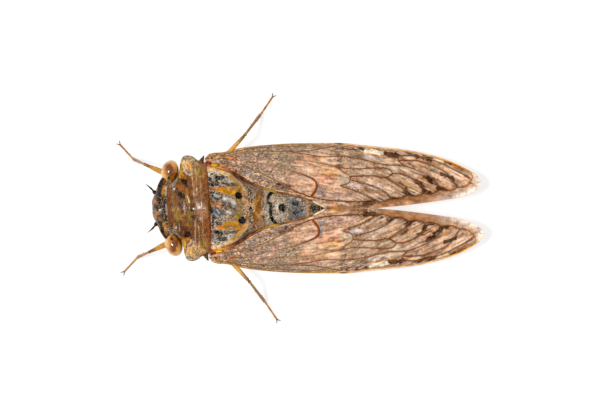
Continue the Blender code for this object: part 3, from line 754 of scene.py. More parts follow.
@dataclass(frozen=True)
class Down:
    """Fine hairs over a skin, each one a bent three-sided spike, in one joined mesh.

    Attributes:
        name: Name of the piece.
        surface: The skin that the hairs grow on.
        cover: Share of the hairs that grow at each plan place.
        count: Number of hairs.
        length: Shortest and longest hair, in millimetres.
        width: Half thickness of a hair at its root.
        lift: Angle between a hair's root and the skin, in degrees.
        colours: sRGB hex values that the hairs are drawn from.
        around: Lowest and highest place around the skin.
        along: Lowest and highest place along it.
        seed: Seed of the random draw.
    """

    name: str
    surface: Surface
    cover: Callable[[Array], Array]
    count: int
    length: tuple[float, float]
    colours: tuple[str, ...]
    width: float = 0.014
    lift: float = 30.0
    around: Place = (-1.0, 1.0)
    along: Place = (0.06, 0.94)
    seed: int = 1

    def roots(self, draw: np.random.Generator) -> tuple[Array, Array, Array, Array]:
        """Draws roots evenly over the skin and thins them by the cover.

        Args:
            draw: The random numbers.

        Returns:
            Places, normals, and the places along and around the skin.
        """
        many = self.count * 8
        along = draw.uniform(*self.along, many)
        around = draw.uniform(*self.around, many)
        step = 0.002
        places = self.surface(along, around)
        ahead = self.surface(along + step, around) - places
        across = self.surface(along, around + step) - places
        normals = np.cross(across, ahead)
        area = np.linalg.norm(normals, axis=1)
        normals = normals / np.maximum(area, 1e-12)[:, None]
        limit = np.quantile(area, 0.97)
        keep = draw.uniform(0, 1, many) < np.clip(area / limit, 0, 1) * self.cover(places)
        chosen = np.flatnonzero(keep)[: self.count]
        return places[chosen], normals[chosen], along[chosen], around[chosen]

    def build(self, slot: str) -> bpy.types.Object:
        """Makes the hairs, lying back along the body, and returns the piece."""
        draw = np.random.default_rng(self.seed)
        roots, normals, along, around = self.roots(draw)
        count = len(roots)
        back = np.tile((1.0, 0.0, 0.0), (count, 1)) + draw.normal(0, 0.35, (count, 3))
        lie = back - (back * normals).sum(axis=1)[:, None] * normals
        lie /= np.linalg.norm(lie, axis=1)[:, None]
        length = draw.uniform(*self.length, count)[:, None]
        lift = np.radians(self.lift * draw.uniform(0.6, 1.4, count))[:, None]
        first = lie * np.cos(lift) + normals * np.sin(lift)
        second = lie * np.cos(lift * 0.2) + normals * np.sin(lift * 0.2)
        side = np.cross(first, normals)
        side /= np.linalg.norm(side, axis=1)[:, None]
        upward = np.cross(side, first)
        sunk = roots - normals * 0.02
        middle = roots + 0.5 * length * first
        points = []
        for centre, size in ((sunk, 1.0), (middle, 0.75)):
            for turn in (0.0, 2 * math.pi / 3, 4 * math.pi / 3):
                offset = math.cos(turn) * side + math.sin(turn) * upward
                points.append(centre + size * self.width * offset)
        points.append(middle + 0.5 * length * second)
        verts = np.stack(points, axis=1).reshape(-1, 3)
        pattern = (
            (0, 1, 2), (0, 4, 1), (0, 3, 4), (1, 5, 2), (1, 4, 5),
            (2, 3, 0), (2, 5, 3), (3, 6, 4), (4, 6, 5), (5, 6, 3),
        )
        faces = (np.array(pattern)[None] + HAIR_POINTS * np.arange(count)[:, None, None]).reshape(-1, 3)
        mesh = bpy.data.meshes.new(self.name)
        mesh.from_pydata(settle(verts).tolist(), [], faces.tolist())
        mesh.shade_smooth()
        hues = np.array([linear(colour) for colour in self.colours])
        tint = np.column_stack([hues[draw.integers(0, len(hues), count)], np.full(count, 0.2)])
        layer = mesh.attributes.new("tint", "FLOAT_COLOR", "POINT")
        layer.data.foreach_set("color", np.repeat(tint, HAIR_POINTS, axis=0).ravel())
        # Each hair is a small patch at its root's place on the skin's own unwrap
        centre = np.column_stack([0.02 + 0.96 * along, 0.02 + 0.96 * (0.5 + 0.5 * around)])
        corner = HAIR_PATCH * np.array(((-1, -1), (1, -1), (0, -1), (-1, 0), (1, 0), (0, 0.3), (0, 1)))
        patches = (centre[:, None] + corner[None]).reshape(-1, 2)
        unwrap = mesh.uv_layers.new(name="OFBake")
        unwrap.data.foreach_set("uv", patches[faces.ravel()].ravel())
        return show(mesh, DOWN_HAIR)


# The line across the body where the head meets the first plate: straight in the middle,
# then back round the eyes
NECK_BOW = curve(0, 0, 2.4, 0.1, 3.3, 0.9, 4.2, 1.58, 5.2, 1.64, 6, 1.7)
ABDOMEN_WIDTH = curve(-4.5, 3.1, -3.9, 3.4, -2.5, 3.65, -1, 3.35, 0.5, 2.6, 1.7, 1.7, 2.5, 0.9, 2.86, 0.3)
ABDOMEN_TOP = curve(-4.5, 7.6, -3.9, 7.85, -2.5, 7.9, -1, 7.6, 0.5, 6.85, 1.7, 6, 2.86, 4.9)
ABDOMEN_BOTTOM = curve(-4.5, 2.8, -3.9, 2.6, -1, 2.5, 1, 3, 2.2, 3.8, 2.86, 4.4)


HEAD_MARKS = (
    Mark((-14.9, 3.7, -15.2, 2.95), 0.42, ragged=0.0, soft=0.7, rise=-0.5),
    Mark((-16, -1.2, -16, 1.2), 0.5, "#2E1E14", 0.8, soft=0.9),
    Mark((-15.3, -2.2, -15.3, 2.2), 0.24, "#3A3028", 0.9, 0.8, 0.9),
    single((-16.6, 2.3, -16.82, 1.5, -16.9, 0.5), 0.14, "#9A5E24", 0.85, 0.8, soft=0.9),
    single((-16.7, -0.9, -16.35, -1.7, -16, -2.7, -15.75, -3.2), 0.13, "#C88838", 0.9),
    Mark((-15.66, 3.45, -15.84, 2.8, -15.98, 2.2, -16.1, 1.55), 0.27, "#07070A", 1.0, 0.3, 0.0),
    Mark((-15.42, 2.95, -15.52, 2.4, -15.6, 1.75), 0.17, "#C88812", 0.95, 0.8, 0.3, soft=0.9),
    single((-15.5, 2.75, -15.52, 2.45), 0.1, "#8A4A10", 0.8, soft=1.0),
    single((-15.2, 2.5, -15.28, 1.5), 0.1, "#C0B4AE", 0.9, 0.7, 0.2),
    single((-15.08, 2.4, -15.1, 1.6), 0.07, "#120E0C", 0.9),
    single((-15.3, 0.4, -15.28, -0.9), 0.09, "#B4ACA8", 0.85, 0.9, 0.2),
    single((-15.55, -0.6, -15.45, -1.4), 0.14, "#120E0E", 0.95),
    single((-15.28, -0.9, -15.2, -1.7), 0.1, "#14181E", 0.9),
    single((-15, -2.3, -14.95, -2.9), 0.16, "#D8B080", 0.8),
    Mark((-14.75, 3.6, -15.05, 2.95, -15.3, 2.85), 0.24, "#14110F", 0.95, 0.8, 1.0),
    Mark((-16.35, 1.36), 0.26, "#08070A", 1.0, soft=0.4),
    single((-16.6, 0.15, -16.7, -0.1), 0.2, "#1C120C", 0.9),
    single((-16.05, 1, -16, 0.6), 0.2, "#160F0E", 0.9),
    single((-16.6, -0.4, -16.5, -0.65), 0.21, "#C07A1C", 0.9, 0.9, soft=0.8),
    single((-16.55, 0.75, -16.4, 0.5), 0.17, "#B06C28", 0.85),
    single((-16.05, -0.05, -15.95, -0.35), 0.24, "#8C8680", 0.8, 0.8, 0.6),
    # A painted highlight: a white glint beside the front ocellus
    single((-16.02, -0.16), 0.12, "#FFFFFF", 0.95, 0.2),
    single((-16.2, -1.15, -16, -1.4), 0.16, "#A07858", 0.8),
    Mark((-15.75, 0.95), 0.2, "#1C1416", 0.85),
)
HEAD_SKIN = Hull(
    front=-16.95,
    rear=-15.0,
    half_width=curve(
        -16.95, 0.7, -16.75, 1.35, -16.45, 2.1, -16.05, 2.95, -15.7, 3.85, -15.35, 3.85, -15, 3.6,
    ),
    top=curve(-16.95, 6.2, -16.75, 6.9, -16.45, 7.45, -16.05, 7.85, -15.7, 8, -15.35, 7.97, -15, 7.7),
    bottom=curve(-16.95, 4.9, -16.75, 4.1, -16.45, 3.4, -16.05, 3.1, -15.7, 3.2, -15.35, 3.5, -15, 3.8),
    belt_share=0.55,
    bow=NECK_BOW,
    bow_share=curve(-16.75, 0, -16.45, 0.2, -16.05, 0.6, -15.7, 0.9, -15.35, 1),
    wrinkles=(0.25, 0.25, 0.06),
    paint=Paint("#6A4222", HEAD_MARKS, 0.6, 11, lowest=7.2),
)


@dataclass
class Head:
    """The short wide head: its skin, its ribbed face, three ocelli, feelers and beak.

    Attributes:
        eye_centre: Middle of the right eye.
        eye_radii: Half sizes of an eye.
        eye_turn: Turn of an eye about Z, in degrees.
        ocelli: Places of the simple eyes.
        ribs: Height of the ribs on the face.
    """

    eye_centre: Place3 = (-14.72, 4.2, 6.2)
    eye_radii: Place3 = (0.97, 1.31, 1.22)
    eye_turn: float = -18.0
    ocelli: tuple[Place3, ...] = ((-16.05, 0.0, 7.93), (-15.6, 0.42, 8.0), (-15.6, -0.42, 8.0))
    ribs: float = 0.07
    skin: Hull = HEAD_SKIN

    def eye_surface(self, side: int, grow: float = 0.0) -> Surface:
        """Returns the surface of one eye, its poles at the ends of its length."""
        turn = math.radians(self.eye_turn * side)

        def surface(along: Array, around: Array) -> Array:
            """Returns places on the eye."""
            polar = math.pi * along
            angle = math.pi * around
            a, b, c = (radius + grow for radius in self.eye_radii)
            y = -b * np.cos(polar)
            x = a * np.sin(polar) * np.sin(angle)
            z = c * np.sin(polar) * np.cos(angle)
            return np.column_stack(
                [
                    self.eye_centre[0] + math.cos(turn) * x - math.sin(turn) * y,
                    side * self.eye_centre[1] + math.sin(turn) * x + math.cos(turn) * y,
                    self.eye_centre[2] + z,
                ]
            )

        return surface

    def eye_rear(self, y: Array, grow: float) -> Array:
        """Returns how far back the right eye reaches at some distances from the middle."""
        turn = math.radians(self.eye_turn)
        a, b = (radius + grow for radius in self.eye_radii[:2])
        c, s = math.cos(turn), math.sin(turn)
        dy = y - self.eye_centre[1]
        quad = (c / a) ** 2 + (s / b) ** 2
        linear_term = 2 * dy * s * c * (1 / a**2 - 1 / b**2)
        rest = dy**2 * ((s / a) ** 2 + (c / b) ** 2) - 1
        root = linear_term**2 - 4 * quad * rest
        reach = (-linear_term + np.sqrt(np.maximum(root, 0))) / (2 * quad)
        return np.where(root > 0, self.eye_centre[0] + reach, -np.inf)

    def build_skin(self) -> None:
        """Makes the head's skin."""
        skin = Skin("head_skin")
        skin.add_surface(self.skin, self.skin.paint, 224, 110)
        for side in (1, -1):
            cheek = ((-15.8, side * 1.6, 6.9), (-15.93, side * 2.3, 6.75), (-15.35, side * 3.5, 6.55))
            line = spline(cheek, 0.1)
            limb = Limb(line, curve(0, 0.2, 0.4, 0.36, 1, 0.3), ((0, "#3A2A20"), (1, "#8A5A28")))
            skin.add_limb(limb, 24, 0.05, self.skin.paint)
        skin.finish(HEAD_CUTICLE, "cuticle_head", ("head",))

    def build_face(self) -> None:
        """Makes the swollen face with its cross ribs, and the small shield under it."""
        face = Skin("face")
        paint = Paint("#7E5A2C", (Mark((-16.9, 0, -16.4, 0), 0.2, "#B8842E", 0.8),), 0.6, 17)

        def surface(along: Array, around: Array) -> Array:
            """Returns places on the face, ribbed at both sides of a smooth middle."""
            polar = math.pi * along
            angle = math.pi * around
            z = np.cos(polar)
            y = np.sin(polar) * np.sin(angle)
            x = -np.sin(polar) * np.cos(angle)
            sides = smoothstep(0.12, 0.4, np.abs(y)) * smoothstep(1.0, 0.7, np.abs(z))
            rib = self.ribs * np.cos(z * 26) * sides
            return np.column_stack([-16.2 + x * (0.8 + rib), y * (1.75 + rib), 4.95 + 2.0 * z])

        def shield(along: Array, around: Array) -> Array:
            """Returns places on the shield between the face and the beak."""
            polar = math.pi * along
            angle = math.pi * around
            x = -0.62 * np.sin(polar) * np.cos(angle)
            y = 0.85 * np.sin(polar) * np.sin(angle)
            return np.column_stack([-16.0 + x, y, 3.05 + 0.9 * np.cos(polar)])

        face.add_surface(surface, paint, 96, 96)
        face.add_surface(shield, paint, 48, 32)
        face.finish(HEAD_CUTICLE, "cuticle_head")

    def build_eyes(self) -> None:
        """Makes the two compound eyes: an orange rim round a browner middle."""
        for name, side in SIDES:
            skin = Skin("eye_dome_" + name)
            x, y = self.eye_centre[0], side * self.eye_centre[1]
            marks = (
                single((x + 0.05, y - 0.45 * side, x - 0.1, y + 0.45 * side), 0.62, "#AE6A28", 0.9, soft=0.9),
                single((x + 0.1, y - 0.3 * side, x + 0.0, y + 0.4 * side), 0.36, "#743E12", 0.9, soft=1.2),
                # A painted shadow: the thin dark line along the eye's rear edge, where it sits in its socket
                Mark((-13.72, 4.75, -13.98, 3.83, -14.48, 3.05, -15.05, 2.86), 0.055, "#1C100A", 0.8, 0.2),
                single((x - 0.2, y - 0.69 * side, x - 0.14, y - 0.63 * side), 0.18, "#0C0604", 1.0, soft=0.5),
            )
            paint = Paint("#F0B462", marks, 0.2, 19, 0.12, 0.1)
            skin.add_surface(self.eye_surface(side, 0.02), paint, 96, 72)
            skin.finish(EYE_CORNEA, "compound_eye", ("eye_" + name,))
        beads = Skin("ocelli")
        for place in self.ocelli:
            line = np.array(place) + np.array(((0, 0, -0.1), (0, 0, 0.05), (0, 0, 0.1)))
            beads.add_limb(Limb(line, level(0.14), ((0, "#1A0A06"), (1, "#4A1C0C")), 0.1), 20, 0.02)
        beads.finish(EYE_CORNEA, "compound_eye")

    def build_feelers(self) -> None:
        """Makes the feelers: two stout joints and a bristle that ends pale."""
        stout = ((-16.2, 1.5, 5.9), (-16.5, 1.7, 5.95), (-16.8, 2.02, 5.95))
        bristle = ((-16.75, 1.98, 5.95), (-16.95, 2.2, 5.97), (-17.25, 2.48, 5.87), (-17.68, 2.82, 5.58))
        for name, side in SIDES:
            skin = Skin("feeler_" + name)
            turn = np.array((1.0, side, 1.0))
            thick = curve(0, 0.26, 0.45, 0.25, 0.5, 0.2, 0.56, 0.24, 1, 0.18)
            thin = curve(0, 0.12, 0.2, 0.1, 0.24, 0.12, 0.5, 0.075, 1, 0.02)
            skin.add_limb(Limb(spline(stout, 0.05) * turn, thick, ((0, "#3A2A1E"), (1, "#1C1512"))), 16, 0.04)
            hues = ((0, "#14100E"), (0.7, "#1C1714"), (0.85, "#A08468"), (1, "#E0C4A8"))
            skin.add_limb(Limb(spline(bristle, 0.06) * turn, thin, hues, 0.1), 12, 0.05)
            skin.finish(DARK_CUTICLE, "dark_cuticle", ("antenna_" + name,))

    def build_beak(self) -> None:
        """Makes the beak that lies back between the legs, with a groove along its front."""
        line = (
            (-15.75, 0, 3.0), (-15.1, 0, 2.15), (-13.8, 0, 1.75),
            (-11.0, 0, 1.6), (-8.4, 0, 1.6), (-7.5, 0, 1.6),
        )
        radius = curve(0, 0.4, 0.1, 0.42, 0.3, 0.36, 0.6, 0.3, 0.9, 0.24, 1, 0.14)
        skin = Skin("beak")
        hues = ((0, "#7A4E22"), (0.6, "#6A3E1C"), (0.9, "#1A1210"), (1, "#120D0B"))
        skin.add_limb(Limb(spline(line, 0.2), radius, hues), 20)
        groove = spline([(x, 0, z - 0.36 * (1 - 0.03 * (x + 15))) for x, _, z in line[1:]], 0.2)
        skin.add_limb(Limb(groove, curve(0, 0.07, 1, 0.04), ((0, "#1A120E"), (1, "#1A120E"))), 8)
        skin.finish(DARK_CUTICLE, "dark_cuticle", ("rostrum",))

    def build(self) -> None:
        """Makes every piece of the head."""
        self.build_skin()
        self.build_face()
        self.build_eyes()
        self.build_feelers()
        self.build_beak()
        middle = Mark((-15.2, -1.6, -15.2, 1.9), 0.12, strength=0.5)
        silver = (Mark((-14.9, 3.3, -15.2, 2.6), 0.3), middle)
        Down(
            "head_down", self.skin, patches(silver, 0.03), 1500, (0.14, 0.26),
            ("#D8D0C4", "#A89C8C", "#F0E4D0"), around=(-0.5, 0.5), seed=21,
        ).build("cuticle_head")


def patches(marks: Sequence[Mark], elsewhere: float) -> Callable[[Array], Array]:
    """Returns a cover of down: dense on the marks, sparse elsewhere."""

    def cover(places: Array) -> Array:
        """Returns the share of hairs that grow at each place."""
        plan = places[:, :2]
        noise = 2 * value_noise(plan, 0.4, 7) - 1
        most = np.full(len(plan), elsewhere)
        for mark in marks:
            most = np.maximum(most, mark.strength * mark.cover(plan, noise))
        return most

    return cover


FIRST_PLATE_MARKS = (
    # Front: a red-brown border, golden patches and an olive field right of the middle
    Mark((-14.95, -3, -14.95, 3), 0.13, "#84462A", 0.85, 0.7),
    Mark((-14.55, 2.2, -14.4, 3.1), 0.3, "#8A867C", 0.9, 0.9, 1.0),
    Mark((-14.75, 2.05, -14.7, 2.3), 0.16, "#100C0A", 0.9, 0.9),
    Mark((-14.32, 2.2), 0.12, "#F8E8D4", 0.95, 0.2),
    single((-14.5, 1.3, -14.45, -2.2), 0.16, "#9A6432", 0.7, 0.9, soft=1.2),
    single((-14.36, 0.1, -14.24, -0.66, -14.1, -1.5), 0.26, "#8A7A20", 0.75, 0.9, soft=1.2),
    single((-13.9, -0.2, -13.8, -1.3), 0.25, "#946830", 0.7, 0.9, soft=1.2),
    single((-14.7, -0.5, -14.6, -1.2), 0.16, "#7E3E24", 0.8),
    Mark((-13.8, 2.35, -13.3, 2.3, -12.9, 2), 0.3, "#9A5C0E", 0.95, 0.5, 0.1, soft=0.9),
    Mark((-14, 2.1, -13.95, 1.7), 0.17, "#3E1E08", 0.9),
    single((-12.79, -0.5, -12.77, -1.58, -12.84, -2.5), 0.24, "#806A1A", 0.75, 0.9, soft=1.1),
    single((-13.33, -0.66), 0.19, "#B8742C", 0.8, soft=1.2),
    single((-12.9, 1.75, -12.85, 0.7), 0.2, "#97701E", 0.8, 0.5, 0.1, soft=0.9),
    single((-13.3, -2.4, -12.9, -3.1), 0.5, "#55290A", 0.85, soft=1.1),
    single((-13.1, -3.3, -12.95, -3.5), 0.2, "#BC780E", 0.95, soft=0.9),
    # Pits in front of the collar
    Mark((-13.15, 3.15, -12.9, 2.9), 0.25, "#34100A", 0.98, 0.8, 0.0, rise=-0.14),
    single((-12.75, 2.75, -12.55, 2.4), 0.17, "#6A4A4E", 0.9, 0.8, rise=-0.1),
    single((-12.95, 2.6, -12.8, 2.45), 0.08, "#1A0A06", 0.9, 0.8),
    single((-13.75, 1.62, -13.5, 1.4), 0.24, "#200804", 0.98, 0.8, 0.0, rise=-0.12),
    single((-13.3, 1.45, -13.2, 1.2), 0.14, "#2C1008", 0.95, 0.8),
    single((-13.6, 0.95, -13.55, 0.25), 0.14, "#6A4848", 0.9, 0.7, rise=-0.08),
    single((-13.78, -1.5, -13.74, -2.9), 0.12, "#402428", 0.95, rise=-0.1),
    single((-13.95, -1.7, -13.9, -2.6), 0.05, "#D8B890", 0.7, 0.9),
    # Golden sides with a pale ring
    Mark((-13.2, 5.3, -12.8, 5, -12.2, 4.6), 0.6, "#F8BE68", 0.92, 0.8, 0.6, soft=0.9),
    Mark((-13.2, 5.45, -12.7, 5.25), 0.15, "#FFE09C", 0.9, 0.9),
    Mark((-12.7, 4.85, -12.35, 4.7), 0.1, "#E88A1C", 0.9, 0.9, soft=0.9),
    Mark((-12.6, 5.4, -11.9, 5.2), 0.22, "#E4C8A0", 0.85, 0.9, 0.8),
    Mark((-13.6, 4.6, -13.45, 3.7), 0.3, "#D8A43C", 0.95, 0.8, 0.4),
    Mark((-12.95, 4.25, -12.5, 4), 0.27, "#E0BC9C", 0.85, 0.9, 0.5),
    Mark((-12.85, 4.3, -12.55, 4), 0.09, "#5A4450", 0.9, 0.7, rise=-0.06),
    Mark((-13.35, 3.6, -13.1, 3.5), 0.2, "#A87010", 0.9, 0.5, 0.1),
    Mark((-13.5, 5.6, -13.1, 5.72, -12.5, 5.72), 0.23, "#857E78", 0.95, 0.7, 1.0),
    Mark((-13.45, 5.45, -13.3, 5.75, -12.95, 5.85), 0.09, "#15110F", 0.9, 0.9),
    Mark((-13.2, 5.85, -12.3, 5.8), 0.07, "#E8D0A8", 0.8, 0.9),
    # The collar
    Mark((-11.4, -6.2, -11.4, 6.2), 0.85, "#96684A", 0.75, 0.4, 0.55, soft=0.5),
    Mark((-12.3, 5.6, -11.9, 4.9, -11.9, 4.2), 0.42, "#D8AE80", 0.9, 0.8, 0.8),
    Mark((-11.6, 4.7, -11.3, 3.8), 0.24, "#A8822E", 0.85, 0.5, 0.6, soft=0.9),
    Mark((-12, 3.7, -11.95, 2), 0.24, "#A27450", 0.8, 0.8, 0.7),
    Mark((-11.5, 3.6, -11.4, 1.8), 0.16, "#947042", 0.8, 0.9),
    Mark((-10.95, 4.6, -10.9, 3.4), 0.14, "#B87A48", 0.8, 0.9),
    Mark((-11, 3.2, -10.9, 2.4, -10.8, 1.4), 0.26, "#84480E", 0.9, soft=0.9),
    single((-11.8, 1.9, -11.7, 0.9), 0.25, "#9A6C50", 0.8, 0.5, 0.8),
    single((-11.7, 0.5, -11.5, -0.4, -11.5, -0.9), 0.28, "#B4846A", 0.75, 0.8, soft=1.1),
    single((-10.95, 0.2, -10.9, -0.9), 0.16, "#B8805E", 0.8, 0.9),
    single((-11.95, -1.3, -11.5, -2, -11.6, -3.2), 0.5, "#6A4426", 0.9, 0.5, 0.5, soft=1.0),
    single((-11.3, -1.5, -11.25, -3.5), 0.14, "#8E6440", 0.8, 0.9),
    single((-12.3, -5.2, -11.5, -4.9), 0.4, "#D4A66C", 0.9, 0.8, 0.8),
    single((-11.6, -3.8, -11.4, -4.3), 0.2, "#A8822E", 0.7, soft=1.0),
    Mark((-12.25, 4.1, -12.15, 2.6, -12.1, 1.4), 0.05, "#D8AC84", 0.8, 0.9),
    Mark((-11.75, 4.4, -11.7, 3, -11.75, 2), 0.045, "#DCB48E", 0.75, 0.9),
    Mark((-11.3, 3.6, -11.25, 2.2, -11.3, 1), 0.045, "#D0A078", 0.75, 0.9),
    Mark((-12, 4.5, -11.95, 3.2, -11.9, 2.2), 0.045, "#6A4224", 0.75, 0.9),
    Mark((-11.5, 3.2, -11.5, 2, -11.55, 1.1), 0.04, "#70482C", 0.75, 0.9),
    single((-11.1, 1.2, -11.1, 0.4, -11.05, -0.6), 0.04, "#7A5036", 0.7, 0.9),
    single((-10.55, -4.9, -10.55, -0.8), 0.16, "#9A4C14", 0.95, 0.7),
    single((-10.5, 0.9, -10.5, 4.6), 0.07, "#A85E2C", 0.8),
    # Painted highlights: white and pale golden glints on the collar's middle and on the disc in front of it
    single((-11.85, 0.75, -11.8, 0.2), 0.05, "#F4E0CC", 0.85, 0.9),
    single((-11.6, 0.6, -11.5, 0.1), 0.05, "#FCEEDC", 0.8, 0.9),
    single((-11.3, 0.7, -11.25, 0.2), 0.05, "#F0D8C4", 0.8, 0.9),
    single((-11.2, 0, -10.8, -0.05), 0.05, "#E8C0A8", 0.8, 0.9),
    single((-12.84, 1.4, -12.66, 0.65), 0.05, "#F4E4B4", 0.85, 0.9),
    single((-13, 1.35, -12.95, 0.9), 0.035, "#F0E0B0", 0.8, 0.9),
    single((-12.32, -0.24), 0.16, "#050506", 1.0, 0.2, rise=-0.04),
    single((-12.32, -1), 0.16, "#050506", 1.0, 0.2, rise=-0.04),
    # A painted highlight: the white glint beside the two black dots
    single((-12.2, -0.06), 0.09, "#FFFFFF", 0.95, 0.1),
)
FIRST_PLATE = Hull(
    front=-15.2,
    rear=-10.3,
    half_width=curve(
        -15.2, 5.15, -15.1, 5.45, -14.97, 5.75, -14.8, 5.91, -14.5, 6, -14, 6.03, -13.3, 5.97, -12.5, 5.82,
        -11.9, 5.66, -11.35, 5.42, -10.8, 5.28, -10.3, 5.1,
    ),
    top=curve(
        -15.2, 7.85, -14.75, 8.15, -14.2, 8.4, -13.3, 8.65, -12.5, 8.7, -12.1, 8.66, -11.7, 8.78,
        -11.1, 8.87, -10.6, 8.8, -10.3, 8.62,
    ),
    bottom=level(6.15),
    belt=level(6.5),
    power=1.75,
    bow=NECK_BOW,
    bow_share=curve(-15.05, 1, -14.75, 0.95, -14.2, 0.82, -13.3, 0.6, -12.5, 0.3, -11.7, 0),
    wrinkles=(0.22, 0.9, 0.1),
    paint=Paint("#724818", FIRST_PLATE_MARKS, 0.4, 23),
)
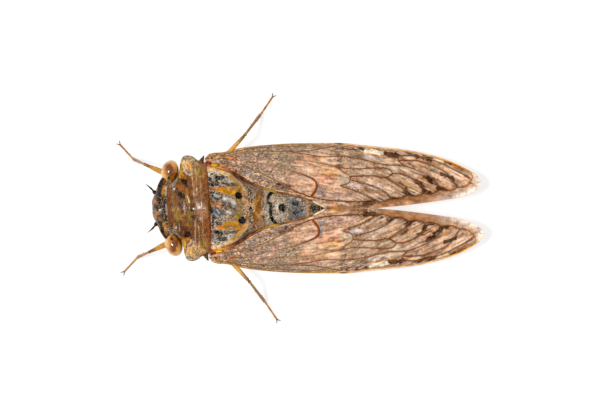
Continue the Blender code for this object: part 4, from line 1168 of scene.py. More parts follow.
SECOND_PLATE_MARKS = (
    # Side fields: cream and grey with black blotches
    Mark((-10.2, 3.9, -9.2, 3.9), 0.3, "#D6CABC", 0.85, 0.9, 1.0),
    Mark((-8.6, 3.4, -7.8, 3.1), 0.3, "#D8CAB8", 0.9, 0.8, 0.7),
    Mark((-9.4, 3.45, -8.75, 3.5), 0.27, "#060606", 1.0, 0.8, 0.2),
    Mark((-9.85, 2.7, -9.3, 2.85), 0.25, "#060606", 1.0, 0.8, 0.2),
    Mark((-10.2, 3.3), 0.2, "#0C0A0A", 1.0, 0.9, 0.3),
    Mark((-10.35, 2.7), 0.17, "#0C0A0A", 0.95, 0.9, 0.3),
    Mark((-10.05, 3.85, -9.7, 3.9), 0.12, "#181410", 0.85, 0.9),
    Mark((-8.75, 2.75, -8.3, 2.75), 0.14, "#1E1A16", 0.9, 0.9, 0.3),
    Mark((-7.9, 2.75, -7.4, 2.68, -6.95, 2.62), 0.17, "#34302C", 0.95, 0.7, 0.2),
    # Yellow and orange bands
    Mark((-10.4, 2.2, -9.9, 2.18, -9.5, 2.1), 0.09, "#B04A20", 0.9, 0.8, 0.2),
    Mark((-9.75, 2.28, -8.9, 2.28, -7.6, 2.3, -7, 2.3), 0.14, "#D88830", 0.95, 0.5, 0.2),
    Mark((-9.2, 2, -8.7, 1.9), 0.19, "#CC7E22", 0.95, 0.5, 0.1),
    Mark((-8.6, 1.9, -8.1, 1.85, -7.5, 1.9), 0.38, "#C48812", 0.98, 0.4, 0.1),
    Mark((-8.1, 1.5, -7.75, 1.3), 0.18, "#C89446", 0.85, 0.5, 0.2),
    Mark((-7.5, 2.1, -6.9, 2.35, -6.6, 2.5), 0.2, "#C88A2C", 0.9, 0.5, 0.2),
    Mark((-6.9, 2, -6.5, 1.7, -6.3, 1.2), 0.2, "#C07A2C", 0.9, 0.5, 0.2),
    single((-7.3, 1, -7.2, 0, -7.25, -1.1), 0.22, "#A88414", 0.97, 0.4, 0.2),
    single((-6.95, 1, -6.85, 0, -6.9, -1), 0.17, "#C0943C", 0.9, 0.5, 0.3, soft=0.9),
    single((-6.45, 0.95, -6.4, 0, -6.5, -0.9), 0.28, "#C8966A", 0.9, 0.5, 0.5),
    single((-7.6, -0.9, -8.2, -1.4), 0.22, "#C89A50", 0.9, 0.5, 0.2),
    # The middle: brown-grey with a blue-grey bloom, an orange wedge, black edges and the collar's painted
    # shadow
    single((-9.9, 0.2, -8.2, -0.2), 1.2, "#806854", 0.85, 0.5, 0.45, soft=0.5),
    single((-10.2, 1.45, -9.3, 1.3), 0.42, "#4C3C30", 0.92, 0.5, 0.5),
    single((-10.3, 1.75, -9.6, 1.8, -9.2, 1.6), 0.09, "#0A0808", 0.95, 0.9),
    single((-10, 0.95, -9.3, 1, -8.9, 1.2), 0.11, "#0A0808", 0.95, 0.9),
    single((-10.3, 1.3, -9.8, 1.35), 0.08, "#0E0C0C", 0.9, 0.9),
    single((-9.6, 1.45, -9.2, 1.4), 0.15, "#BCB0A4", 0.8, 0.9),
    single((-10.4, 0.62, -9.9, 0.5, -9.3, 0.42), 0.2, "#C06C14", 0.97, 0.5, 0.1),
    single((-9.4, 0.2, -8.9, 0.05), 0.14, "#C08440", 0.9, 0.8),
    single((-8.75, 0.4, -8.2, 0.3), 0.42, "#604A38", 0.92, 0.7, 0.3),
    single((-8.5, 0.45, -8.25, 0.35), 0.13, "#3E3630", 0.85, 0.9),
    # A painted highlight: the pale crescent near the top of the plate's dome
    single((-8.6, 1.12, -8.1, 1.05, -7.75, 0.8, -7.55, 0.45), 0.19, "#C8BEB8", 0.95, 0.6, 0.1, soft=0.8),
    single((-8.4, 0.85, -8, 0.75), 0.07, "#B4ACA6", 0.9, 0.9),
    single((-10.05, -0.1, -9.5, -0.45, -9.1, -0.7), 0.4, "#545458", 0.97, 0.5, 0.12, soft=0.6),
    single((-9.6, -0.15, -9.3, -0.55), 0.08, "#C4C8D0", 0.85, 0.9),
    single((-9.9, -0.5, -9.5, -0.95), 0.07, "#A8ACB4", 0.8, 0.9),
    # A painted shadow: the black band just behind the collar's rear edge, where the collar overhangs this
    # plate
    single((-10.3, 0.3, -10.2, -0.3, -10.1, -0.9, -10.15, -2.2), 0.15, "#060506", 1.0, 0.7),
    single((-9.95, -1, -9.3, -1.35, -8.8, -1.3), 0.12, "#100C0C", 0.9, 0.9),
    single((-8.9, -0.95, -8.3, -0.9), 0.18, "#C0A090", 0.85, 0.8),
    single((-8.35, -0.45, -8, -0.5), 0.12, "#D8CCC4", 0.85, 0.8),
    single((-9.8, -1.7, -9.2, -1.75), 0.22, "#2E2824", 0.9, 0.9, 0.8),
    single((-8.95, 0.75, -8.7, 0.6), 0.1, "#2E2624", 0.8, 0.9),
    # The pale rim with its golden inner edge, and the two black spots with painted blue reflections
    Mark((-10.3, 4.95, -8.6, 4.5, -7.5, 4, -6.5, 3.2, -6, 2.5), 0.34, "#8A4E22", 0.95, 0.5, 0.5),
    Mark(
        (-10.5, 4.5, -9.6, 4.4, -8.6, 4.02, -7.8, 3.65, -7.15, 3.15, -6.62, 2.52, -6.25, 1.9), 0.24,
        "#EEC48A", 0.97, 0.4, 0.1, rise=0.05,
    ),
    Mark((-7.9, 3.5, -7.3, 3, -6.8, 2.5, -6.5, 2), 0.17, "#D89A28", 0.97, 0.7, 0.1),
    Mark((-6.3, 1.9, -6.05, 1.2, -6.1, 0.6), 0.13, "#B08858", 0.85, 0.9),
    single((-7.05, 1.45, -6.9, 1.42), 0.36, "#06060A", 1.0, 0.3, 0.0, soft=0.25),
    single((-6.78, -1.45, -6.66, -1.35), 0.37, "#06060A", 1.0, 0.3, 0.0, soft=0.25),
    # Painted reflections: blue-grey sheen on the two black spots
    single((-6.75, 1.55, -6.7, 1.3), 0.09, "#4A5464", 0.8, 0.8),
    single((-6.75, -1.2, -6.6, -1.6), 0.07, "#4A5464", 0.7, 0.9),
    # The cross-shaped ridge behind: tan arms, a grey arc and golden-brown hollows
    Mark((-5.3, -2.8, -5.3, 2.8), 0.9, "#B0865A", 0.9, 0.2, 0.6),
    single((-5.7, 2.7, -5.78, 1.2, -5.72, 0, -5.66, -1.7), 0.2, "#635648", 0.9, 0.8, 1.0),
    single((-5.75, 0.5, -5.65, 0.05, -5.8, -0.4), 0.12, "#080605", 0.98, 0.9, rise=-0.05),
    single((-5.6, 2.3, -5.65, 1.7), 0.13, "#2C2620", 0.9, 0.9),
    single((-5.6, -1.6, -5.45, -2.1), 0.16, "#302A26", 0.9, 0.9),
    single((-5, 1.5, -5.25, 0.8, -5.3, -0.2), 0.16, "#C09660", 0.8, 0.8),
    single((-4.6, 1.6, -4.72, 0.8, -4.8, 0), 0.34, "#8E560A", 0.97, 0.5, 0.1),
    single((-4.8, -0.1, -5.1, -0.8, -5.35, -1.7), 0.3, "#8E560E", 0.97, 0.6, 0.1),
    single((-4.7, -0.9, -4.6, -1.9), 0.25, "#BC8450", 0.85, 0.8),
    Mark((-6.3, 1.1, -5.35, 0.15, -4.5, 1.35), 0.2, "#B88A50", 0.5, 0.0, soft=1.4, rise=0.22),
    Mark((-4.2, -2.2, -4.2, 2.2), 0.14, "#A46C38", 0.9, 0.8),
    Mark((-4, -2.2, -4, 2.2), 0.14, "#D8C8B0", 0.9, 0.8, 0.8),
)
SECOND_PLATE = Hull(
    front=-10.75,
    rear=-3.75,
    half_width=curve(
        -10.75, 4.95, -10.32, 5, -9.8, 4.85, -8.8, 4.55, -7.8, 4.1, -7, 3.5, -6.3, 3, -5.2, 2.5,
        -3.75, 2.05,
    ),
    top=curve(
        -10.75, 8.3, -10.32, 8.5, -9.8, 9, -8.6, 9.28, -7.3, 9.05, -6.4, 8.4, -5.2, 8.2, -4.2, 8.05,
        -3.75, 7.8,
    ),
    bottom=level(6.15),
    belt=level(6.6),
    wrinkles=(0.3, 0.3, 0.05),
    paint=Paint("#94806E", SECOND_PLATE_MARKS, 0.8, 29, 0.45, 0.3),
)
THORAX_UNDERSIDE_MARKS = (
    Mark((-12, -4, -12, 4), 0.3, "#6E5434", 0.8),
    Mark((-8.6, -4.2, -8.6, 4.2), 0.3, "#6E5434", 0.8),
    Mark((-10.5, 3.6, -7.5, 3.6), 0.5, "#BFA888", 0.8, 0.5, 0.9),
)
THORAX_UNDERSIDE = Hull(
    front=-15.3,
    rear=-4.0,
    half_width=curve(-15.3, 2.6, -15.05, 2.7, -13.5, 3.7, -11.5, 4.2, -9, 4.3, -7, 4, -4.5, 3.4, -4, 3.2),
    top=level(6.4),
    bottom=curve(-15.3, 3.5, -15.05, 3.4, -14, 2.7, -12, 2.35, -7, 2.3, -4, 2.6),
    belt=level(4.9),
    power=2.4,
    bow=NECK_BOW,
    bow_share=curve(-15.05, 1, -11.5, 0),
    rim=0.4,
    paint=Paint("#A8824E", THORAX_UNDERSIDE_MARKS, 0.8, 31),
)


@dataclass
class Thorax:
    """The two back plates and the underside of the thorax.

    Attributes:
        head: The head, whose eyes the first plate makes room for.
    """

    head: Head
    first: Hull = FIRST_PLATE
    second: Hull = SECOND_PLATE
    under: Hull = THORAX_UNDERSIDE

    def first_surface(self, along: Array, around: Array) -> Array:
        """Returns the first plate's surface, hollowed in front to make room for the eyes."""
        places = self.first(along, around)
        room = self.head.eye_rear(np.abs(places[:, 1]), 0.1)
        places[:, 0] = np.maximum(places[:, 0], room)
        return places

    def build(self) -> None:
        """Makes the plates, the underside, the collar's corner spikes and the down."""
        first = Skin("first_plate")
        first.add_surface(self.first_surface, self.first.paint, 288, 130)
        for side in (1, -1):
            corner = ((-11.25, side * 5.0, 6.8), (-11.05, side * 5.45, 6.75), (-10.8, side * 6.02, 6.6))
            hues = ((0, "#6A4A34"), (1, "#2A221E"))
            first.add_limb(Limb(spline(corner, 0.05), curve(0, 0.36, 0.5, 0.24, 1, 0.03), hues), 16, 0.05)
        first.finish(PLATE_CUTICLE, "cuticle_back", ("pronotum",))
        second = Skin("second_plate")
        second.add_surface(self.second, self.second.paint, 256, 150)
        second.finish(FROSTED_CUTICLE, "cuticle_back", ("mesonotum",))
        under = Skin("thorax_wall")
        under.add_surface(self.under, self.under.paint, 128, 120)
        under.finish(RING_CUTICLE, "cuticle_under", ("thorax_underside",))
        frost = (
            Mark((-10.2, 3.3, -8.6, 3.3, -7.4, 2.8), 0.8, strength=0.45),
            Mark((-10.2, 1.2, -8, 0.8), 0.5, strength=0.4),
            single((-9.6, -0.8, -8, -0.9), 0.5, strength=0.35),
            Mark((-6, 2.2, -4.2, 2.2), 0.8, strength=0.4),
        )
        Down(
            "second_plate_down", self.second, patches(frost, 0.05), 3600, (0.14, 0.3),
            ("#DCCDB4", "#C4AE8E", "#F2E6D0", "#8A7458"), around=(-0.5, 0.5), lift=18.0, seed=33,
        ).build("cuticle_back")
        fringe = (Mark((-13.4, 5.7, -12, 5.9), 0.4, strength=0.5), Mark((-14.3, 3.4, -13.3, 4.9), 0.3))
        Down(
            "first_plate_down", self.first_surface, patches(fringe, 0.03), 2600, (0.14, 0.3),
            ("#DCD2C0", "#C8B89C", "#EFE4D0"), around=(-0.55, 0.55), lift=25.0, seed=35,
        ).build("cuticle_back")
        Down(
            "thorax_wall_down", self.under, lambda places: np.full(len(places), 0.8), 8000, (0.3, 0.6),
            ("#D8C8A8", "#C0AC88", "#EADCC0"), around=(-1.0, 1.0), lift=20.0, seed=37,
        ).build("cuticle_under")


# The black line that runs in waves across the front ring
ABDOMEN_WAVE = (
    -2.95, 2.3, -3.16, 1.85, -3.6, 1.46, -3.82, 0.95, -3.7, 0.68, -3.45, 0.52, -3.48, -0.15,
    -3.46, -0.8, -3.3, -1.36, -2.85, -1.85,
)
ABDOMEN_MARKS = (
    Mark((-4.1, -2.8, -4.1, 2.8), 0.3, "#CFC0A8", 0.9, 0.9, 0.9),
    Mark((-2.5, -3, -2.5, 3), 0.85, "#A08C74", 0.7, 0.5, 0.9),
    Mark((-2.9, 1.2, -2.4, 0.8), 0.3, "#C4A48C", 0.7, 0.9, 0.8),
    Mark((-0.6, -2.5, -0.6, 2.5), 0.8, "#6C747C", 0.95, 0.5, 0.25),
    Mark((-3.3, 1.5, -3.4, 0.7), 0.18, "#CDBCA4", 0.8, 0.9),
    Mark((-2.6, 0.5, -2.75, -0.4), 0.18, "#D0C4B4", 0.8, 0.9),
    single(ABDOMEN_WAVE, 0.2, "#020202", 1.0, 0.25, 0.0, rise=-0.06),
    Mark((-2.12, 0.12, -2.16, -0.12), 0.36, "#040404", 1.0, 0.5, 0.0),
    Mark((-2.4, -1.7, -2.2, -1.3), 0.2, "#4A3E32", 0.85),
    Mark((-1.7, 0.7, -1.5, 0.2), 0.22, "#A08A78", 0.7, 0.9),
    Mark((-0.95, 0.6, -0.5, 0.45), 0.25, "#15171A", 0.92, 0.9, 0.2),
    Mark((-0.75, -0.5, -0.3, -0.7), 0.27, "#15171A", 0.92, 0.9, 0.2),
    Mark((0.1, 0.1, 0.4, 0.2), 0.2, "#1C1F22", 0.9, 0.9),
    single((-1.15, 1.2, -0.7, 1.25), 0.1, "#C8CCD4", 0.9, 0.9),
    # Painted highlights: white glints on the blue-grey ring
    single((-0.35, 1.05, -0.05, 0.95), 0.17, "#FFFFFF", 1.0, 0.9),
    single((0.3, -0.45), 0.1, "#E4E6EA", 0.9),
    Mark((0.35, 0.7, 0.4, 0, 0.35, -0.8), 0.11, "#A8B2BE", 0.85, 0.8),
    Mark((-1.2, 0.9, -1.1, 0.3, -1.2, -0.5), 0.16, "#968C86", 0.7, 0.9),
    Mark((0.74, -2.2, 0.74, 2.2), 0.14, "#D0A880", 1.0, 0.4, 0.0),
    Mark((1.3, -2, 2, -1, 2.8, 0, 2, 1, 1.3, 2), 0.36, "#3E3226", 0.95),
    Mark((1.35, 0, 2.2, 0), 0.4, "#2C2A2A", 0.9, 0.5, 0.4),
    Mark((1.1, 0.95, 2.86, 0.05), 0.1, "#E4CC94", 1.0, 0.3, 0.0),
    Mark((1.4, 0.6, 2.4, 0.15), 0.09, "#5A5020", 0.8, 0.7),
)
ABDOMEN_SKIN = Hull(
    front=-4.4,
    rear=2.86,
    half_width=ABDOMEN_WIDTH,
    top=ABDOMEN_TOP,
    bottom=ABDOMEN_BOTTOM,
    belt_share=0.46,
    steps=(-3.45, -2.4, -1.3, -0.3, 0.72, 1.5, 2.2),
    flare=0.035,
    wrinkles=(0.2, 0.5, 0.05),
    paint=Paint("#98866E", ABDOMEN_MARKS, 0.8, 41, 0.5, 0.3),
)


@dataclass
class Abdomen:
    """The ringed abdomen with its pointed tip, and the two flaps under its base.

    Attributes:
        skin: The rings' surface.
        flap: Middle of the right flap.
        flap_size: Half sizes of a flap.
    """

    flap: Place3 = (-3.3, 1.67, 1.97)
    flap_size: Place3 = (1.0, 1.32, 0.17)
    skin: Hull = ABDOMEN_SKIN

    def build(self) -> None:
        """Makes the rings, the flaps and the down."""
        rings = Skin("abdomen_rings")
        rings.add_surface(self.skin, self.skin.paint, 208, 200)
        rings.finish(RING_CUTICLE, "cuticle_abdomen", ("abdomen", "abdomen_tip"))
        paint = Paint("#B08A54", (Mark((-3.6, 1, -2.6, 2.2), 0.4, "#C8AA78", 0.7),), 0.5, 43)
        for name, side in SIDES:
            skin = Skin("flap_" + name)

            def surface(along: Array, around: Array, side: int = side) -> Array:
                """Returns places on a flap, boxy in outline and thin at its rim."""
                polar = math.pi * along
                angle = math.pi * around
                z = np.cos(polar)
                outline = np.abs(np.sin(angle)) ** 2.6 + np.abs(np.cos(angle)) ** 2.6
                reach = np.sin(polar) / outline ** (1 / 2.6)
                x = self.flap[0] + self.flap_size[0] * reach * np.cos(angle)
                y = self.flap[1] + self.flap_size[1] * reach * np.sin(angle)
                return np.column_stack([x, side * y, self.flap[2] + self.flap_size[2] * z])

            skin.add_surface(surface, paint, 64, 32)
            skin.finish(RING_CUTICLE, "cuticle_under", ("operculum_" + name,))
        frost = (
            Mark((-4, 0, -4, 2.8), 0.4),
            Mark((-2.5, 1.3, -2.5, 2.8), 0.8, strength=0.45),
            Mark((-0.6, 0.5, -0.6, 2), 0.7, strength=0.45),
        )
        Down(
            "abdomen_down", self.skin, patches(frost, 0.15), 4200, (0.14, 0.34),
            ("#DCCAB0", "#B8A284", "#F2E6D0", "#7A6650"), lift=16.0, seed=45,
        ).build("cuticle_abdomen")


RIDGE_HEIGHT = curve(-10.5, 7.55, -7.8, 8.45, -5, 9, -3.3, 9.1, 0, 8.95, 3, 8.4, 10, 6.5, 20.8, 3.3)
MARGIN_HEIGHT = curve(-10.5, 6.4, -8, 5.3, -5, 3.9, -2, 3, 5, 2.55, 20.8, 2.3)
MARGIN_REACH = curve(-10.5, 6.15, -8.8, 6.4, -5.6, 7.15, 0, 7.55, 4.1, 7.6, 11.5, 6.9, 17.8, 5.4, 20.8, 4.3)


def roof(x: Array, y: Array) -> Array:
    """Returns the height of the roof that the folded wings make over each plan place."""
    share = np.minimum(np.abs(y) / MARGIN_REACH(x), 1.0)
    arch = 0.2 * (1 - share) + 0.8 * np.sqrt(1 - 0.985 * share * share)
    return MARGIN_HEIGHT(x) + (RIDGE_HEIGHT(x) - MARGIN_HEIGHT(x)) * arch


def under_roof(x: Array, y: Array, depth: Array | float) -> Array:
    """Returns places at some depth under the roof, measured square to it."""
    step = 0.05
    dx = (roof(x + step, y) - roof(x - step, y)) / (2 * step)
    dy = (roof(x, y + step) - roof(x, y - step)) / (2 * step)
    normal = np.column_stack([-dx, -dy, np.ones(len(x))])
    normal /= np.linalg.norm(normal, axis=1)[:, None]
    return np.column_stack([x, y, roof(x, y)]) - normal * np.broadcast_to(depth, len(x))[:, None]


BORDER = curve(6.5, 0.3, 8.5, 0.85, 10.3, 1.1, 12.3, 1.5, 14.1, 1.7, 16, 2.1, 18.1, 2.4, 19.3, 2.9)
BORDER_STOPS = (8.5, 10.3, 12.3, 14.1, 16.0, 18.1, 20.0)


def border(x: Array) -> Array:
    """Returns how far from the midline the forewing's cells end, in one scallop for each cell."""
    stops = np.array(BORDER_STOPS)
    k = np.clip(np.searchsorted(stops, x, side="right") - 1, 0, len(stops) - 2)
    share = np.clip((x - stops[k]) / (stops[k + 1] - stops[k]), 0, 1)
    return BORDER(x) - 0.26 * np.sin(math.pi * share) ** 0.8


BORDER_LINE = tuple((float(x), float(border(np.array([x]))[0])) for x in np.linspace(8.5, 19.1, 44))
FOREWING_VEINS: dict[str, tuple[Place, ...]] = {
    "costa": ((-9.8, 6.0), (-7.9, 6.3), (-5.6, 6.8), (-2.7, 7.0), (0.7, 7.1), (4.2, 7.15)),
    "subcosta": ((-9.8, 5.5), (-8.4, 5.9), (-6.7, 6.3), (-4.4, 6.5), (-1.6, 6.5), (1.3, 6.6), (4.2, 7.15)),
    "radius": ((-1.6, 6.5), (0.7, 6.2), (2.6, 5.9), (5.3, 5.9), (7.6, 5.5), (9.7, 5.0), (11.9, 4.9)),
    "radius_cross": ((11.9, 4.9), (11.4, 5.5), (11.3, 6.0)),
    "media": (
        (-8.6, 5.4), (-5.6, 5.5), (-2.1, 5.5), (1.0, 5.4), (4.1, 4.8), (6.1, 4.5), (9.8, 4.6), (10.7, 4.0),
    ),
    "claval": (
        (-9.8, 5.1), (-8.5, 5.0), (-6.8, 4.75), (-5.1, 4.3),
        (-3.6, 3.6), (-2.2, 2.9), (-0.6, 1.95), (1.2, 1.3),
    ),
    "basal_loop": ((-4.2, 5.1), (-2.2, 4.6), (-0.4, 4.1), (1.4, 3.4), (1.9, 2.8), (1.8, 2.1), (1.2, 1.3)),
    "middle_loop": ((4.1, 4.8), (5.1, 4.1), (5.75, 3.6), (5.6, 2.9), (4.6, 2.6)),
    "fork": ((10.7, 4.0), (9.8, 3.5), (8.3, 3.7), (5.75, 3.6)),
    "apical_1": ((10.7, 4.0), (12.1, 3.8), (13.1, 3.2), (14.0, 2.5), (14.1, 1.7)),
    "apical_2": ((11.9, 4.9), (13.1, 4.5), (14.5, 3.9), (15.5, 3.1), (16.0, 2.1)),
    "apical_3": ((11.4, 5.5), (13.8, 5.4), (15.7, 4.7), (17.0, 3.9), (18.1, 2.3)),
    "apical_4": ((11.3, 6.0), (13.4, 6.0), (15.7, 5.4), (17.8, 4.4), (19.5, 3.5)),
    "apical_5": ((9.8, 3.5), (10.9, 2.8), (11.9, 2.2), (12.3, 1.5)),
    "apical_6": ((5.9, 3.2), (8.0, 2.6), (9.6, 1.9), (10.3, 1.1)),
    "apical_7": ((4.6, 2.6), (5.9, 2.1), (7.2, 1.6), (8.5, 0.85)),
    "border": (*BORDER_LINE, (19.5, 2.95), (19.8, 3.4), (19.82, 3.7), (19.65, 4.0)),
    "anal": ((1.2, 1.3), (2.8, 0.95), (4.7, 0.8), (6.8, 0.75), (8.5, 0.85)),
}
HINDWING_VEINS: dict[str, tuple[Place, ...]] = {
    "front": ((-7.5, 5.0), (-5.0, 5.55), (-1.5, 5.9), (1.5, 5.8), (3.0, 5.2)),
    "middle": ((-5.0, 5.2), (-1.5, 5.3), (1.5, 4.9), (3.2, 4.1)),
}
# Colours of the forewing's veins by share of the length, of its other veins and of its margins
FOREWING_HUES: dict[str, Bands] = {
    "costa": ((0, "#B07838"), (0.3, "#8A5A30"), (0.75, "#9A6A3A"), (0.9, "#C89858"), (1, "#E0B068")),
    "subcosta": ((0, "#B88850"), (0.3, "#9E7450"), (0.6, "#966644"), (1, "#8A4A22")),
    "claval": ((0, "#C07428"), (0.12, "#A87850"), (0.5, "#9E7658"), (0.8, "#8A5E44"), (1, "#6A3018")),
    "media": ((0, "#BC967A"), (0.4, "#B28C70"), (0.6, "#92684A"), (1, "#784A30")),
    "basal_loop": ((0, "#B08C6C"), (0.4, "#A47C5C"), (0.55, "#96623C"), (0.7, "#8E4A1C"), (1, "#94501E")),
    "anal": ((0, "#7A3414"), (0.3, "#5A3A2C"), (1, "#2E221E")),
    "fork": ((0, "#7A3A1C"), (0.3, "#8A5232"), (1, "#7A5038")),
    "border": ((0, "#7E5A44"), (0.5, "#8A5C3E"), (0.72, "#9A6038"), (0.85, "#B86E30"), (1, "#E09234")),
}
PLAIN_HUES = ((0, "#7E3E1E"), (0.3, "#8A5432"), (0.7, "#8E6040"), (1, "#6E452E"))
COSTAL_HUES = (
    (0, "#B8803C"), (0.1, "#D09C50"), (0.3, "#C08C3C"),
    (0.42, "#E4B858"), (0.46, "#E8B850"), (0.475, "#3A2418"),
    (0.5, "#E8B484"), (0.62, "#FFD8A8"), (0.7, "#F8C088"),
    (0.8, "#FFD090"), (0.87, "#F0A030"), (0.94, "#FFB020"),
    (0.97, "#F4D4A0"), (1, "#F6E4CC"),
)
INNER_HUES = (
    (0, "#9A3C14"), (0.03, "#E0A020"), (0.06, "#D48828"),
    (0.09, "#96501C"), (0.105, "#3E1E10"), (0.12, "#8A4A22"),
    (0.135, "#3A1C10"), (0.155, "#8E5426"), (0.175, "#5A2A14"), (0.19, "#9A6030"), (0.21, "#8A5A1C"),
    (0.25, "#CC9A24"), (0.27, "#6A3812"), (0.31, "#B87420"),
    (0.345, "#7A4414"), (0.36, "#A87A18"), (0.38, "#7A4414"),
    (0.39, "#FFE6C4"), (0.425, "#FFE2BC"), (0.435, "#7A5010"),
    (0.45, "#B4743C"), (0.6, "#D8AE8C"), (1, "#F6E4D4"),
)
FILM_HUES = ((0, "#8A5426"), (1, "#8A5426"))
DARK_PATCH = "#4A3022"
